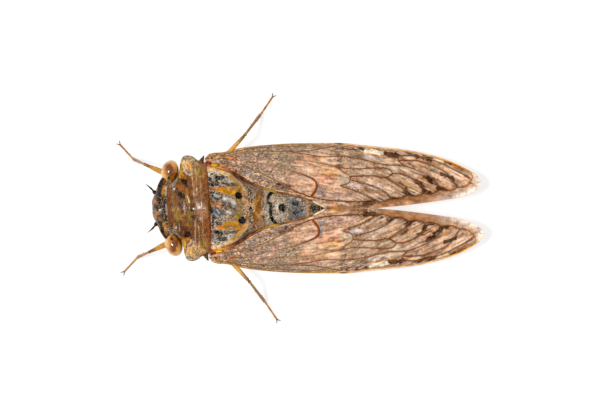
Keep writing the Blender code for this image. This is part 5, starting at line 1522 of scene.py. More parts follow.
FOREWING_MARKS = (
    # Ground of the basal half: a costal strip, pink and olive fields, a grey root
    Mark((-7.5, 6.3, -4, 6.78, 0, 6.88, 3, 6.88), 0.24, "#BCA48C", 0.8),
    Mark((-2.5, 6.85, 0, 6.88), 0.12, "#C8A898", 0.8, 0.9),
    Mark((-8.9, 5.5, -6.6, 5.4, -6, 5), 0.5, "#8A7260", 0.8, 0.5, 1.0, soft=1.0),
    Mark((-6.6, 5.6, -5, 5.45, -3.4, 5, -2.6, 4.6), 0.55, "#EEBAA4", 0.92, 0.8, 0.5, soft=0.9),
    Mark((-3.6, 4.75, -2.8, 4.6), 0.16, "#E0907C", 0.7, 0.9, soft=1.2),
    Mark((-2.6, 6.1, -1.6, 5, -1.4, 4.3), 0.85, "#B09C7C", 0.8, 0.5, 1.0, soft=0.9),
    Mark((-0.2, 5.9, 0.4, 4.8), 0.5, "#C49A7C", 0.75, 0.5, 0.8, soft=0.9),
    Mark((-1.1, 3.1, 0.3, 2.9, 1.2, 2.2), 0.95, "#F0BA98", 0.94, 0.5, 0.35, soft=0.6),
    Mark((-5.6, 3.8, -3.6, 2.9, -2.2, 2.2, -0.4, 1.6), 0.34, "#A86E4C", 0.75, 0.5, 0.6),
    Mark((-6.5, 4.2, -4.6, 3.6, -3, 3.2), 0.34, "#98806E", 0.8, 0.5, 1.0, soft=0.9),
    Mark((-4.8, 3.35, -3.6, 2.95), 0.12, "#B8684E", 0.75, 0.9, soft=1.2),
    Mark((-2.3, 2.65, -1.3, 2.35), 0.3, "#34242A", 0.97, 0.8, 0.1),
    Mark((-2.8, 2.1, -0.6, 1.62), 0.06, "#E8DCD8", 0.8, 0.9, 0.0),
    Mark((-8.3, 5.15, -7.8, 4.95), 0.17, "#CCBEC4", 0.9, 0.8, 0.2),
    Mark((-7.7, 5.05, -6.8, 4.7), 0.16, "#3E3634", 0.85, 0.9, 0.4),
    Mark((-6.4, 4.75, -5.4, 4.1), 0.34, "#6E5A56", 0.75, 0.8, 1.0),
    Mark((-5.9, 4.1, -5.5, 3.95), 0.13, "#A898A8", 0.8, 0.9, 0.2),
    Mark((-7.3, 5.9, -6.2, 5.6, -5.4, 5.1), 0.2, "#5E4436", 0.7, 0.9, 0.8, soft=0.9),
    # Orange and peach fields between the root and the node
    Mark((1, 5, 2.4, 4.7, 3.8, 4.2), 1.25, "#F0B692", 0.92, 0.3, 0.3, soft=0.6),
    Mark((2, 3.1, 4.6, 2.6), 0.6, "#E8AE8C", 0.9, 0.5, 0.3, soft=0.8),
    Mark((0.8, 4.9, 1.3, 4), 0.34, "#FCD0AC", 0.9, 0.9, 0.2),
    Mark((2.4, 6.15, 3.3, 5.85), 0.3, "#FCC08E", 0.95, 0.5, 0.1),
    Mark((1.7, 5.6, 2.8, 5.3, 4, 5.15), 0.3, "#FFC898", 0.97, 0.8, 0.1),
    Mark((2, 4.45, 3.2, 4.35, 4.3, 4.1), 0.32, "#FFCC90", 0.97, 0.8, 0.1),
    Mark((1.2, 5.05, 3.4, 4.8), 0.07, "#A8663C", 0.7, 0.9),
    Mark((2.6, 4, 4.3, 3.85), 0.13, "#E08A34", 0.85, 0.8, 0.1),
    Mark((1.9, 3.55, 3.2, 3.45, 4.1, 3.2), 0.24, "#F8B08C", 0.95, 0.8, 0.1),
    Mark((2.7, 2.75, 3.9, 2.55), 0.2, "#D89C7C", 0.85, 0.5, 0.2),
    Mark((2, 2.75, 2.25, 2.2, 2.2, 1.6), 0.27, "#A49CA2", 0.92, 0.8, 0.2),
    Mark((2.5, 1.5, 2.9, 1.4), 0.2, "#6E6470", 0.8, 0.9),
    Mark((3.2, 1.46, 4.6, 1.42, 6, 1.4), 0.3, "#DAA896", 0.9, 0.5, 0.3),
    Mark((4.4, 6.5, 4.6, 5.5, 4.75, 4.7), 0.26, "#604A3C", 0.8, 0.9, soft=0.9),
    Mark((4.7, 3.35, 5.3, 3.15), 0.4, "#E0C4A4", 0.95, 0.5, 0.1, soft=0.4),
    Mark((5.5, 2.72, 6.7, 2.55), 0.2, "#E8D8D6", 0.97, 0.5, 0.0),
    # The strip beside the midline
    Mark((2.6, 0.35, 5.5, 0.3, 7.3, 0.25), 0.44, "#B88660", 0.92, 0.5, 0.4),
    Mark((3.4, 0.45, 4.6, 0.4), 0.14, "#E8A060", 0.8, 0.9),
    Mark((7.4, 0.6, 8.3, 0.75, 9.1, 0.9), 0.34, DARK_PATCH, 0.92, 0.5, 0.2),
    Mark((5.7, 0.2, 7.6, 0.15), 0.14, "#6E4C3C", 0.75, 0.9),
    # The costal edge past the node
    Mark((4.4, 6.9, 4.9, 6.7), 0.25, "#8A7060", 0.7),
    Mark((5, 7, 6.2, 6.9, 7.3, 6.78), 0.2, "#3E2E24", 0.92, 0.8, 0.2),
    Mark((6, 6.2, 7.4, 6.1), 0.4, "#9A8066", 0.7, 0.5, 0.8),
    Mark((7.8, 6.62, 8.8, 6.44, 9.7, 6.26), 0.29, "#FFEED0", 1.0, 0.3, 0.0, soft=0.25),
    Mark((7.9, 6.3, 8.8, 6.14, 9.8, 5.98), 0.09, "#EC9424", 0.97, 0.5, 0.0),
    Mark((7.7, 5.95, 9.4, 5.65), 0.24, "#D8C0B4", 0.95, 0.8, 0.1),
    Mark((9.9, 6.25, 10.5, 6.2, 11.2, 6.05), 0.27, "#3A281E", 0.97, 0.8, 0.1),
    Mark((9.9, 5.55, 10.8, 5.45, 11.4, 5.3), 0.22, "#E8BE98", 0.95, 0.6, 0.1, soft=0.6),
    Mark((9.9, 5.02, 11.6, 4.94), 0.07, "#2C1C14", 0.9, 0.6),
    Mark((11.2, 6.32, 13.4, 6.02, 15.2, 5.65), 0.24, "#3E2A20", 0.95, 0.8, 0.1),
    Mark((12.9, 5.55, 13.9, 5.4, 14.2, 5.2), 0.14, "#8E3C14", 0.8, 0.9, soft=1.2),
    Mark((11.9, 5.92, 13.2, 5.7), 0.15, "#E8B074", 0.95, 0.8, 0.0),
    Mark((14, 5.32, 14.9, 5.1), 0.13, "#DCA878", 0.9, 0.8, 0.0),
    Mark((15.5, 5.55, 16.5, 5.27), 0.2, "#FFE6BC", 1.0, 0.3, 0.0, soft=0.25),
    Mark((15.6, 5.1, 16.6, 4.8), 0.2, "#E8B484", 0.85, 0.8, 0.0),
    Mark((16.8, 5.25, 17.5, 5), 0.17, "#4A3222", 0.95, 0.7, 0.0),
    Mark((17.7, 4.95, 18.7, 4.45), 0.14, "#C87A2C", 0.85, 0.7, 0.0),
    # Pale cells and the dark patches between their ends
    Mark((5.6, 5.2, 7.4, 5), 0.3, "#C4A488", 0.75, 0.5, 0.3),
    Mark((7.2, 4.2, 9, 4.1), 0.3, "#C8A482", 0.8, 0.5, 0.2),
    Mark((8.9, 4.35, 10.2, 4), 0.2, "#E0C098", 0.85, 0.7, 0.0),
    Mark((10.4, 4.6, 11.6, 4.5), 0.2, "#DCC4A4", 0.8, 0.7, 0.0),
    Mark((10.2, 3.4, 11.6, 3.1), 0.34, "#D2AC84", 0.85, 0.5, 0.1),
    Mark((12, 2.75, 13.3, 2.2), 0.42, "#D2A47A", 0.95, 0.5, 0.0, soft=0.4),
    Mark((10.2, 2.3, 11.6, 1.7), 0.36, "#CEA07A", 0.92, 0.5, 0.1, soft=0.4),
    Mark((6.9, 2.95, 8.4, 2.35, 9.2, 2.2), 0.13, "#EEDCCC", 0.9, 0.8, 0.0),
    Mark((7.2, 2.3, 8.8, 1.6), 0.28, "#CCA284", 0.85, 0.5, 0.1),
    Mark((8.6, 1.75, 9.8, 1.2), 0.2, "#D8B090", 0.8, 0.8, 0.0),
    Mark((13.9, 3.3, 15.2, 2.4), 0.42, "#D8A47C", 0.95, 0.5, 0.0, soft=0.4),
    Mark((15.8, 3.6, 17.2, 2.6), 0.55, "#DCA87E", 0.95, 0.5, 0.0, soft=0.4),
    Mark((12.6, 4.2, 14, 3.7), 0.26, "#CEA27E", 0.85, 0.5, 0.1),
    Mark((14, 4.8, 15.2, 4.4), 0.26, "#D0A480", 0.85, 0.5, 0.1),
    Mark((17.4, 4.2, 18.8, 3.2), 0.6, "#F2C09A", 0.92, 0.5, 0.0),
    Mark((17.5, 4, 18.6, 3.3), 0.05, "#FBE6DC", 0.85, 0.8),
    Mark((17.7, 4.35, 18.9, 3.6), 0.05, "#FBE6DC", 0.85, 0.8),
    Mark((13.3, 3.05, 13.7, 2.8, 14.05, 2.35), 0.24, DARK_PATCH, 0.95, 0.8, 0.0),
    Mark((14.4, 3.7, 14.9, 3.3, 15.6, 2.8), 0.27, "#2E1E16", 0.97, 0.8, 0.0),
    Mark((16.4, 4, 17, 3.8, 17.5, 3.4), 0.27, DARK_PATCH, 0.92, 0.8, 0.0),
    Mark((14.2, 1.95, 14.9, 1.85), 0.24, DARK_PATCH, 0.92, 0.8, 0.0),
    Mark((15.8, 2.3, 16.6, 2.1), 0.28, DARK_PATCH, 0.92, 0.8, 0.0),
    Mark((12, 1.7, 12.9, 1.5), 0.32, DARK_PATCH, 0.92, 0.8, 0.0),
    Mark((10.1, 1.25, 11, 1.05), 0.3, DARK_PATCH, 0.9, 0.8, 0.0),
    Mark((17.8, 2.6, 18.7, 2.35), 0.24, "#54382A", 0.85, 0.8, 0.0),
    Mark((11.5, 2.95, 12.1, 2.5), 0.16, DARK_PATCH, 0.75, 0.8),
    # The root: red-brown, yellow and orange hinge plates
    Mark((-9.7, 5.3, -9.2, 5.3), 0.18, "#E8D0C4", 0.85, 0.9, 0.4),
    Mark((-10.4, 5.2, -10.1, 5.1), 0.24, "#862408", 0.97, 0.5, 0.1),
    Mark((-9.85, 5.05, -9.3, 4.95, -8.7, 4.8), 0.2, "#E09A1C", 0.95, 0.8, 0.1),
    Mark((-8.6, 4.75, -7.9, 4.5, -7, 4.1), 0.17, "#9A4E1C", 0.9, 0.7, 0.2),
    Mark((-8.35, 5.15, -8, 5.1), 0.2, "#6E625E", 0.85, 0.9),
    Mark((-10.2, 6, -9.7, 6.1), 0.32, "#D8A054", 0.9, 0.5, 0.5),
    Mark((-9.3, 5.85, -8.8, 5.8), 0.2, "#8A6A58", 0.85, 0.5, 1.0),
    Mark((-9.35, 5.65), 0.13, "#E0DCDC", 0.9, 0.8),
    Mark((-8.1, 5.72, -7.3, 5.6), 0.17, "#DC6E10", 0.97, 0.8, 0.0),
    Mark((-7.9, 5.45, -7.2, 5.4), 0.09, "#7A2C10", 0.85, 0.9),
)


@dataclass(frozen=True)
class Membrane:
    """A folded wing under the roof, between an outer and an inner margin seen from above.

    Attributes:
        name: Name of its pieces, without the side.
        outer: Distance of the outer margin from the midline, by place along the body.
        inner: Distance of the inner margin.
        root: Where the wing starts along the body.
        tip: Where it ends.
        depth: Depth of its upper face under the roof.
        veins: Lines of its veins, seen from above.
        thick: Radii at the start and the end of the veins that differ from the rest.
        marks: Its markings.
        ground: Colour under them.
        specks: Amount of specks on the ground.
        finish: The membrane's finish.
        hues: Colours of single veins along their length.
        plain_hues: Colours of the other veins.
        thickness: Thickness of the finished membrane.
        columns: Points along it.
        rows: Points across it.
    """

    name: str
    outer: Profile
    inner: Profile
    root: float
    tip: float
    depth: float
    veins: dict[str, tuple[Place, ...]]
    thick: dict[str, Place]
    marks: tuple[Mark, ...]
    ground: str
    specks: float = 0.5
    finish: Cuticle = WING_FILM
    hues: dict[str, Bands] = field(default_factory=dict)
    plain_hues: Bands = FILM_HUES
    thickness: float = 0.06
    columns: int = 380
    rows: int = 104

    def plan(self, u: Array, v: Array) -> tuple[Array, Array]:
        """Returns places seen from above, by share along the wing and share across it."""
        eased = 0.65 * u + 0.35 * np.sin(0.5 * math.pi * u)
        x = self.root + (self.tip - self.root) * eased
        near = self.inner(x)
        return x, near + (self.outer(x) - near) * (1 - (1 - v) ** 1.3)

    def vein_lines(self) -> list[Array]:
        """Returns the veins as lines seen from above."""
        return [spline(line, 0.4) for line in self.veins.values()]

    def vein_distance(self, plan: Array) -> Array:
        """Returns how far each plan place is from the nearest vein."""
        return np.min([distance_to_line(plan, line) for line in self.vein_lines()], axis=0)

    def surface(self, side: int) -> Surface:
        """Returns the upper face of one side's wing, for the down that grows on it."""

        def places(along: Array, around: Array) -> Array:
            """Returns places by share along the wing and across it, given from -1 to 1."""
            x, y = self.plan(along, 0.5 + 0.5 * around * side)
            return under_roof(x, y, self.depth) * np.array((1.0, side, 1.0))

        return places

    def build_membrane(self, side_name: str, side: int, slot: str) -> None:
        """Makes one membrane, sunk between its veins, and gives it a thickness."""
        skin = Skin(f"{self.name}_membrane_{side_name}")
        grid = bmesh.ops.create_grid(skin.bm, x_segments=self.columns, y_segments=self.rows, size=0.5)
        made = grid["verts"]
        unit = np.array([vert.co[:] for vert in made]) + 0.5
        x, y = self.plan(unit[:, 0], unit[:, 1])
        plan = np.column_stack([x, y])
        away = self.vein_distance(plan)
        sag = 0.07 * smoothstep(0.0, 0.5, away) + 0.02
        places = under_roof(x, y, self.depth + sag) * np.array((1.0, side, 1.0))
        paint = Paint(self.ground, self.marks, self.specks, 51 + side, 0.26, 0.14)
        tint = paint.tint(plan)
        tint = self.shade(plan, away, tint, paint.noise(plan))
        skin.write(made, places, tint)
        skin.bm.normal_update()
        if sum(face.normal.z for face in skin.bm.faces) < 0:
            bmesh.ops.reverse_faces(skin.bm, faces=skin.bm.faces)
        piece = skin.finish(self.finish, slot, (f"{self.name}_{side_name}",))
        solid = piece.modifiers.new("thickness", "SOLIDIFY")
        solid.thickness = self.thickness * MM
        solid.offset = -1.0

    def shade(self, plan: Array, away: Array, tint: Array, noise: Array) -> Array:
        """Darkens the membrane along its veins."""
        lay(tint, 0.6 * np.exp(-((away / 0.13) ** 2)), linear("#6A4026"))
        return tint

    def margin(self, v: float, count: int = 160) -> Array:
        """Returns the line along one margin of the right wing."""
        u = np.linspace(0.0, 1.0, count)
        x, y = self.plan(u, np.full(count, v))
        return under_roof(x, y, self.depth + 0.03)

    def build_veins(self, side_name: str, side: int, slot: str) -> None:
        """Makes one wing's veins and its bordering veins as thin round limbs."""
        skin = Skin(f"{self.name}_veins_{side_name}")
        turn = np.array((1.0, side, 1.0))
        for name, line in self.veins.items():
            plan = spline(line, 0.12)
            start, end = self.thick.get(name, VEIN_RADII)
            places = under_roof(plan[:, 0], plan[:, 1], self.depth + 0.02) * turn
            taper = curve(0, start, 1, end)
            skin.add_limb(Limb(places, taper, self.hues.get(name, self.plain_hues)), 8, 0.16)
        for v, radius, bands in self.edges():
            limb = Limb(self.margin(v) * turn, radius, bands, 0.2)
            skin.add_limb(limb, 8, 0.16)
        skin.finish(VEIN_CUTICLE, slot)

    def edges(self) -> tuple[tuple[float, Profile, Bands], ...]:
        """Returns the margins that carry a thin edge: share across, radius and colours."""
        return ((1.0, level(0.04), FILM_HUES), (0.0, level(0.03), FILM_HUES))

    def build(self, slot: str) -> None:
        """Makes both sides' membranes and veins."""
        for side_name, side in SIDES:
            self.build_membrane(side_name, side, slot)
            self.build_veins(side_name, side, slot)


@dataclass(frozen=True)
class Forewing(Membrane):
    """The mottled, leathery forewing."""

    def shade(self, plan: Array, away: Array, tint: Array, noise: Array) -> Array:
        """Thins the specks towards the tip, clears the outer band and darkens the veins' sides."""
        x, y = plan.T
        tint[:, 3] *= 1 - 0.45 * smoothstep(-5.0, 1.0, x) - 0.35 * smoothstep(6.0, 13.0, x)
        # Pale and brown wrinkles that run with the veins, steeper towards the tip
        far = smoothstep(4.0, 8.0, x)
        gentle = value_noise(np.column_stack([x, y + 0.15 * x]), (1.1, 0.16), 61)
        steep = value_noise(np.column_stack([x, y + 0.5 * x]), (1.3, 0.17), 63)
        streak = gentle + far * (steep - gentle)
        clean = 1 - 0.85 * smoothstep(0.55, 0.8, tint[:, :3].mean(axis=1))
        # Grains without a direction take the wrinkles' place towards the root
        smooth = smoothstep(-6.0, 1.5, x)
        grain = value_noise(plan, 0.17, 67)
        for share, hue in (
            ((0.3 + 0.35 * smooth) * smoothstep(0.55, 0.8, streak), "#FFDCC0"),
            ((0.25 + 0.3 * smooth) * smoothstep(0.42, 0.2, streak) * clean, "#7E4E34"),
            ((0.75 - 0.68 * smooth) * smoothstep(0.6, 0.8, grain), "#F2C698"),
            ((0.8 - 0.7 * smooth) * smoothstep(0.4, 0.2, grain) * clean, "#4C3020"),
        ):
            lay(tint, share, linear(hue))
        dusk = 0.75 * np.exp(-((away / (0.12 + 0.04 * noise)) ** 2)) * smoothstep(-4.0, 8.0, x)
        lay(tint, dusk, linear("#5E3A26"))
        # Brown shadows that round the cells' ends near the border
        ends = smoothstep(1.7, 0.6, y - border(x)) * smoothstep(8.5, 10.5, x) * smoothstep(18.6, 16.4, x)
        scallop = 0.85 * ends * np.exp(-((away / (0.25 + 0.1 * noise)) ** 2))
        lay(tint, scallop, linear("#4E3222"))
        # The clear band past the border, paler towards its rim and towards the tip: partly its own colour,
        # partly painted light of the white floor seen through the clear membrane
        past = smoothstep(0.04, -0.14, y - border(x)) * smoothstep(8.3, 9.2, x)
        beyond = x + 0.3 * (y - 3.2) - 19.7
        past = np.maximum(past, smoothstep(0.0, 0.2, beyond))
        edge = smoothstep(0.1, 1.0, np.maximum(border(x) - y, 1.3 * beyond))
        rays = value_noise(np.column_stack([x + 0.6 * y, y]), (0.3, 1.6), 65)[:, None] - 0.5
        light = smoothstep(14.0, 20.2, x)[:, None]
        rim = linear("#BE9070") + light * (linear("#FFF0E0") - linear("#BE9070"))
        near = linear("#AE7850") + light * (linear("#E4BC9C") - linear("#AE7850"))
        band = near + edge[:, None] * (rim - near)
        band = band * (1 + 0.25 * rays * (1 - 0.6 * light))
        lay(tint, past, band)
        tint[:, 3] *= 1 - 0.95 * past
        return tint

    def edges(self) -> tuple[tuple[float, Profile, Bands], ...]:
        """Returns the margins that carry a thin edge: share across, radius and colours."""
        front = curve(0, 0.1, 0.3, 0.08, 0.46, 0.07, 0.5, 0.11, 0.8, 0.1, 0.93, 0.07, 1, 0.02)
        rear = curve(0, 0.12, 0.2, 0.14, 0.35, 0.09, 0.4, 0.11, 0.425, 0.09, 0.45, 0.05, 0.5, 0.03, 1, 0.02)
        return ((1.0, front, COSTAL_HUES), (0.0, rear, INNER_HUES))

    def build(self, slot: str) -> None:
        """Makes both sides' wings, with hinge plates at the root and down on the basal half."""
        super().build(slot)
        lobes = (
            (((-10.6, 5.6, 6.55), (-10.1, 5.95, 6.6), (-9.4, 6.1, 6.5)), 0.27, "#C68A4C", 0.9),
            (((-10.6, 5.2, 6.75), (-10.2, 5.1, 6.95), (-9.95, 4.95, 7.05)), 0.2, "#8A2E12", 0.1),
            (((-10.0, 4.95, 7.05), (-9.6, 4.92, 7.15), (-9.2, 4.88, 7.2)), 0.11, "#F0B830", 0.0),
        )
        for side_name, side in SIDES:
            skin = Skin("wing_hinge_" + side_name)
            for line, radius, colour, specks in lobes:
                path = spline(line, 0.08) * np.array((1.0, side, 1.0))
                bulge = curve(0, 0.5 * radius, 0.5, radius, 1, 0.6 * radius)
                skin.add_limb(Limb(path, bulge, ((0, colour), (1, colour)), specks), 20, 0.06)
            skin.finish(WING_LEATHER, slot)

            def cover(places: Array) -> Array:
                """Returns the share of hairs by place: many at the root, none past the node."""
                return 0.9 * smoothstep(4.5, -4.0, places[:, 0]) * (value_noise(places[:, :2], 0.5, 9) > 0.35)

            Down(
                "forewing_down_" + side_name, self.surface(side), cover, 5200, (0.1, 0.22),
                ("#C8B49C", "#8A7664", "#DCC8B0", "#6A5A4C"), width=0.011, lift=9.0, along=(0.02, 0.6),
                around=(-0.97, 0.97), seed=71 + side,
            ).build(slot)


FOREWING = Forewing(
    name="forewing",
    outer=curve(
        -10.7, 5.6, -10.3, 5.9, -9.8, 6.25, -8.8, 6.32, -6.7, 6.82, -3.3, 7.22, 0.14, 7.4, 4.14, 7.44,
        7.6, 7.12, 11.6, 6.72, 15, 6.08, 17.9, 5.11, 19.2, 4.45, 20.1, 3.92, 20.55, 3.5, 20.74, 3.15,
        20.8, 2.8,
    ),
    inner=curve(
        -10.7, 5, -10.3, 4.9, -9.6, 4.75, -8.65, 4.5, -7.68, 4.15, -6.78, 3.65, -6.05, 3.15, -5.1, 2.65,
        -4.12, 2.23, -3.2, 1.97, -0.95, 1.5, 1.1, 0.9, 2.4, 0.3, 3, 0.03, 8.5, 0.03, 9.6, 0.12, 11.3, 0.27,
        14.8, 0.71, 18.3, 1.28, 19.6, 1.75, 20.4, 2.25, 20.7, 2.52, 20.8, 2.8,
    ),
    root=-10.7,
    tip=20.8,
    depth=0.0,
    veins=FOREWING_VEINS,
    thick={
        "costa": (0.07, 0.05), "subcosta": (0.08, 0.06), "claval": (0.09, 0.07), "basal_loop": (0.05, 0.15),
        "media": (0.05, 0.045), "fork": (0.065, 0.05), "border": (0.04, 0.06),
    },
    marks=FOREWING_MARKS,
    ground="#CBA080",
    specks=0.95,
    finish=WING_LEATHER,
    hues=FOREWING_HUES,
    plain_hues=PLAIN_HUES,
)
HINDWING = Membrane(
    name="hindwing",
    outer=curve(-8.6, 4.6, -8.3, 4.85, -7.6, 5.3, -5, 5.9, -1.5, 6.25, 1.5, 6.15, 3.3, 5.6, 4, 4.9, 4.2, 4.4),
    inner=curve(
        -8.6, 4.4, -7.8, 4.2, -6.6, 4.1, -5, 4.8, -3, 4.95, -0.6, 4.5, 1.6, 3.5, 3.6, 3.2, 4.05, 3.7,
        4.2, 4.4,
    ),
    root=-8.6,
    tip=4.2,
    depth=0.97,
    veins=HINDWING_VEINS,
    thick={"front": (0.06, 0.04)},
    marks=(Mark((-6, 5, 0, 5.4), 0.5, "#C08A48", 0.6),),
    ground="#A87840",
    columns=150,
    rows=40,
)
THIGH_HUES = (
    (0, "#8A5E2C"), (0.12, "#D0923A"), (0.4, "#ECB04C"), (0.75, "#E8AA4C"), (0.9, "#B07636"), (1, "#6E4526"),
)
SHIN_HUES = (
    (0, "#6A4228"), (0.08, "#C88C42"), (0.25, "#9A6840"), (0.5, "#AA7650"), (0.75, "#8A5636"), (1, "#C07E3C"),
)
FOOT_HUES = (
    (0, "#C8843C"), (0.3, "#D8964A"), (0.48, "#9A6030"), (0.6, "#D08E48"), (0.9, "#C07A38"), (1, "#B87434"),
)


@dataclass(frozen=True)
class Leg:
    """One pair of legs: hip block, thigh, shin, three-jointed foot and claws.

    Attributes:
        pair: Name of the pair.
        socket: Where the hip block leaves the thorax, on the right.
        hip: Joint of the thigh.
        knee: Joint of the shin.
        ankle: Joint of the foot.
        toe: End of the foot, on the floor.
        thigh: Radius of the thigh at its thickest.
        spines: Number of spines under the thigh.
        spurs: Number of spurs on the shin.
        sole: Height of the foot's middle line above the floor.
    """

    pair: str
    socket: Place3
    hip: Place3
    knee: Place3
    ankle: Place3
    toe: Place3
    thigh: float
    spines: int = 0
    spurs: int = 3
    sole: float = 0.12

    def foot(self) -> Array:
        """Returns the line of the foot, which lies along the floor."""
        ankle, toe = np.array(self.ankle), np.array(self.toe)
        heel = ankle + 0.2 * (toe - ankle)
        heel[2] = self.sole + 0.07
        middle = 0.5 * (heel + toe)
        middle[2] = self.sole
        toe[2] = self.sole
        return spline((ankle, heel, middle, toe), 0.06)

    def build(self) -> None:
        """Makes the right and the left leg."""
        for side_name, side in SIDES:
            skin = Skin(f"leg_{self.pair}_{side_name}_limb")
            turn = np.array((1.0, side, 1.0))
            for limb, segments in self.limbs():
                skin.add_limb(replace(limb, line=limb.line * turn), segments, 0.09)
            skin.finish(LEG_CUTICLE, "leg_cuticle", (f"leg_{self.pair}_{side_name}",))

    def limbs(self) -> list[tuple[Limb, int]]:
        """Returns the segments of the right leg with their numbers of sides."""
        joints = (self.socket, self.hip, self.knee, self.ankle)
        socket, hip, knee, ankle = (np.array(place) for place in joints)
        rise = np.array((0.0, 0.0, 0.22))
        coxa = spline((socket, 0.5 * (socket + hip) + 0.5 * rise, hip), 0.1)
        thigh = spline((hip, hip + 0.5 * (knee - hip) + rise, knee), 0.1)
        shin = spline((knee, knee + 0.5 * (ankle - knee) + 0.35 * rise, ankle), 0.1)
        foot = self.foot()
        wide = self.thigh
        thigh_shape = curve(0, 0.2, 0.06, 0.26, 0.12, 0.2, 0.4, wide, 0.7, wide * 0.85, 0.92, 0.2, 1, 0.19)
        shin_shape = curve(0, 0.17, 0.05, 0.2, 0.12, 0.15, 0.5, 0.17, 0.9, 0.2, 1, 0.16)
        foot_shape = curve(
            0, 0.12, 0.16, 0.14, 0.2, 0.09, 0.26, 0.12, 0.44, 0.13, 0.48, 0.09, 0.54, 0.11, 0.9, 0.12,
            1, 0.1,
        )
        limbs = [
            (Limb(coxa, curve(0, 0.5, 0.6, 0.44, 1, 0.3), ((0, "#8A6434"), (1, "#B88440"))), 20),
            (Limb(thigh, thigh_shape, THIGH_HUES, 0.5), 24),
            (Limb(shin, shin_shape, SHIN_HUES, 0.6), 18),
            (Limb(foot, foot_shape, FOOT_HUES, 0.4), 14),
        ]
        ahead = foot[-1] - foot[-4]
        ahead /= np.linalg.norm(ahead)
        across = np.cross(ahead, (0.0, 0.0, 1.0))
        for side in (1, -1):
            root = foot[-1] - 0.08 * ahead
            bend = root + 0.3 * ahead + side * 0.14 * across + np.array((0, 0, 0.1))
            tip = root + 0.5 * ahead + side * 0.3 * across - np.array((0, 0, 0.07))
            hues = ((0, "#7A4A28"), (1, "#241812"))
            taper = curve(0, 0.07, 0.6, 0.05, 1, 0.015)
            limbs.append((Limb(spline((root, bend, tip), 0.04), taper, hues), 8))
        down = np.array((0.0, 0.0, -1.0))
        for k in range(self.spines):
            share = 0.3 + 0.5 * k / max(1, self.spines - 1)
            at = thigh[int(share * (len(thigh) - 1))]
            tip = at + down * (wide + 0.34 - 0.08 * k) + 0.2 * (knee - hip) / np.linalg.norm(knee - hip)
            hues = ((0, "#B07C3C"), (1, "#2A1A12"))
            limbs.append((Limb(spline((at, 0.5 * (at + tip), tip), 0.05), curve(0, 0.17, 1, 0.02), hues), 10))
        lean = (ankle - knee) / np.linalg.norm(ankle - knee)
        out = np.cross(lean, (0.0, 0.0, 1.0))
        out /= np.linalg.norm(out)
        for k in range(self.spurs):
            share = 0.45 + 0.5 * k / max(1, self.spurs - 1)
            at = shin[int(share * (len(shin) - 1))]
            sideways = out * (1 if k % 2 else -1)
            tip = at + 0.34 * sideways + 0.22 * lean
            hues = ((0, "#6A4024"), (1, "#2A1A12"))
            limbs.append((Limb(np.array((at, 0.5 * (at + tip), tip)), curve(0, 0.05, 1, 0.01), hues), 6))
        return limbs


LEGS = (
    Leg(
        "front", (-13.0, 2.0, 3.3), (-13.7, 3.25, 2.1), (-17.55, 4.98, 4.2), (-19.05, 5.63, 0.6),
        (-20.6, 7.3, 0.0), 0.36, spines=3, spurs=2,
    ),
    Leg(
        "mid", (-10.2, 2.2, 3.2), (-10.3, 3.9, 1.95), (-6.25, 8.3, 3.9), (-4.4, 10.8, 0.62),
        (-3.05, 12.8, 0.0), 0.31,
    ),
    Leg(
        "hind", (-6.4, 1.7, 3.2), (-5.9, 2.9, 1.95), (-3.0, 5.2, 3.1), (1.4, 5.75, 0.6),
        (3.9, 6.0, 0.0), 0.31, spurs=6,
    ),
)


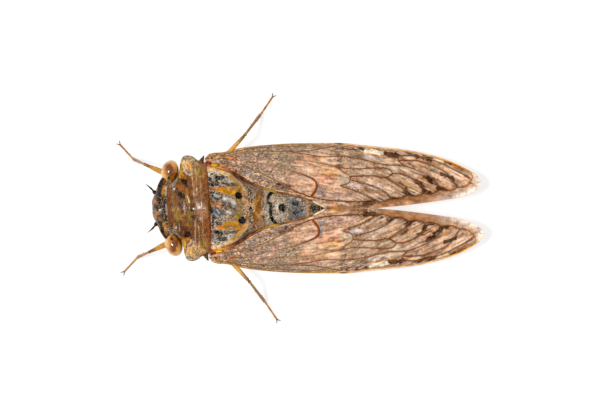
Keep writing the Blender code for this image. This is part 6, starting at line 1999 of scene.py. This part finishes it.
@dataclass(frozen=True)
class Studio:
    """A white floor, even light from above and a camera that looks straight down.

    Attributes:
        pixel: Size of one of the photo's pixels on the specimen, in millimetres.
        midline: The photo's pixel row of the animal's midline.
        origin: The photo's pixel column of the frame's origin.
        frame: The photo's width and height, in pixels.
        height: Height of the camera, in millimetres.
        sensor: Width of the camera's sensor, in millimetres.
        lamp: Strength of the lamp.
        lamp_width: Angle that the lamp fills, in degrees, which softens its shadows.
        lamp_turn: Turn of the lamp about Y, in degrees; its light leans from the head to the tail.
        sky: Strength of the white surround.
        glow: Strength of the floor's own light, which keeps it white.
    """

    pixel: float = 38 / 332.5
    midline: float = 208.2
    origin: float = 301.0
    frame: Place = (612.0, 408.0)
    height: float = 600.0
    sensor: float = 36.0
    lamp: float = 2.1
    lamp_width: float = 10.0
    lamp_turn: float = -22.0
    sky: float = 0.4
    glow: float = 0.75

    def build_camera(self) -> None:
        """Makes the camera and makes it the scene's own."""
        data = bpy.data.cameras.new("camera")
        data.sensor_width = self.sensor
        data.lens = data.sensor_width * self.height / (self.frame[0] * self.pixel)
        data.clip_start = 0.01
        camera = bpy.data.objects.new("camera", data)
        x = (self.frame[0] / 2 - self.origin) * self.pixel
        y = (self.midline - self.frame[1] / 2) * self.pixel
        camera.location = (x * MM, y * MM, (self.height + 5.0) * MM)
        bpy.context.scene.collection.objects.link(camera)
        bpy.context.scene.camera = camera

    def build_floor(self) -> None:
        """Makes the floor, matt white paper."""
        bm = bmesh.new()
        bmesh.ops.create_grid(bm, x_segments=1, y_segments=1, size=0.4)
        mesh = bpy.data.meshes.new("floor")
        bm.to_mesh(mesh)
        bm.free()
        floor = bpy.data.objects.new("floor", mesh)
        bpy.context.scene.collection.objects.link(floor)
        paper = bpy.data.materials.new("matt white paper")
        paper.use_nodes = True
        tree = paper.node_tree
        shader = tree.nodes["Principled BSDF"]
        place = add_node(tree, "TexCoord").outputs["Object"]
        fibre = add_node(tree, "TexNoise", {"Scale": 1 / (0.3 * MM), "Detail": 3.0}, {"Vector": place})
        shade = add_node(tree, "MapRange", {3: 0.33, 4: 0.35}, {0: fibre.outputs[0]})
        white = add_node(tree, "CombineColor", {}, {channel: shade.outputs[0] for channel in (0, 1, 2)})
        tree.links.new(white.outputs[0], shader.inputs["Base Color"])
        shader.inputs["Roughness"].default_value = 0.9
        shader.inputs["Specular IOR Level"].default_value = 0.1
        shader.inputs["Emission Color"].default_value = (1.0, 1.0, 1.0, 1.0)
        shader.inputs["Emission Strength"].default_value = self.glow
        mesh.materials.append(paper)

    def build_lights(self) -> None:
        """Makes the white surround and one broad lamp above."""
        world = bpy.data.worlds.new("studio")
        bpy.context.scene.world = world
        world.use_nodes = True
        sky = world.node_tree.nodes["Background"]
        sky.inputs["Color"].default_value = (1.0, 1.0, 1.0, 1.0)
        sky.inputs["Strength"].default_value = self.sky
        lamp = bpy.data.lights.new("lamp", "SUN")
        lamp.energy = self.lamp
        lamp.angle = math.radians(self.lamp_width)
        lamp_object = bpy.data.objects.new("lamp", lamp)
        lamp_object.rotation_euler = (0.0, math.radians(self.lamp_turn), 0.0)
        bpy.context.scene.collection.objects.link(lamp_object)
        bpy.context.scene.view_settings.view_transform = "Standard"

    def build(self) -> None:
        """Makes the camera, the floor and the lights."""
        self.build_camera()
        self.build_floor()
        self.build_lights()


def main() -> None:
    """Builds the camera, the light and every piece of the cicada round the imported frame."""
    logging.basicConfig(level=logging.INFO, format="%(name)s: %(message)s")
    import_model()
    Studio().build()
    head = Head()
    head.build()
    Thorax(head).build()
    Abdomen().build()
    for leg in LEGS:
        leg.build()
    FOREWING.build("forewing_membrane")
    HINDWING.build("hindwing_membrane")


if __name__ == "__main__":
    main()
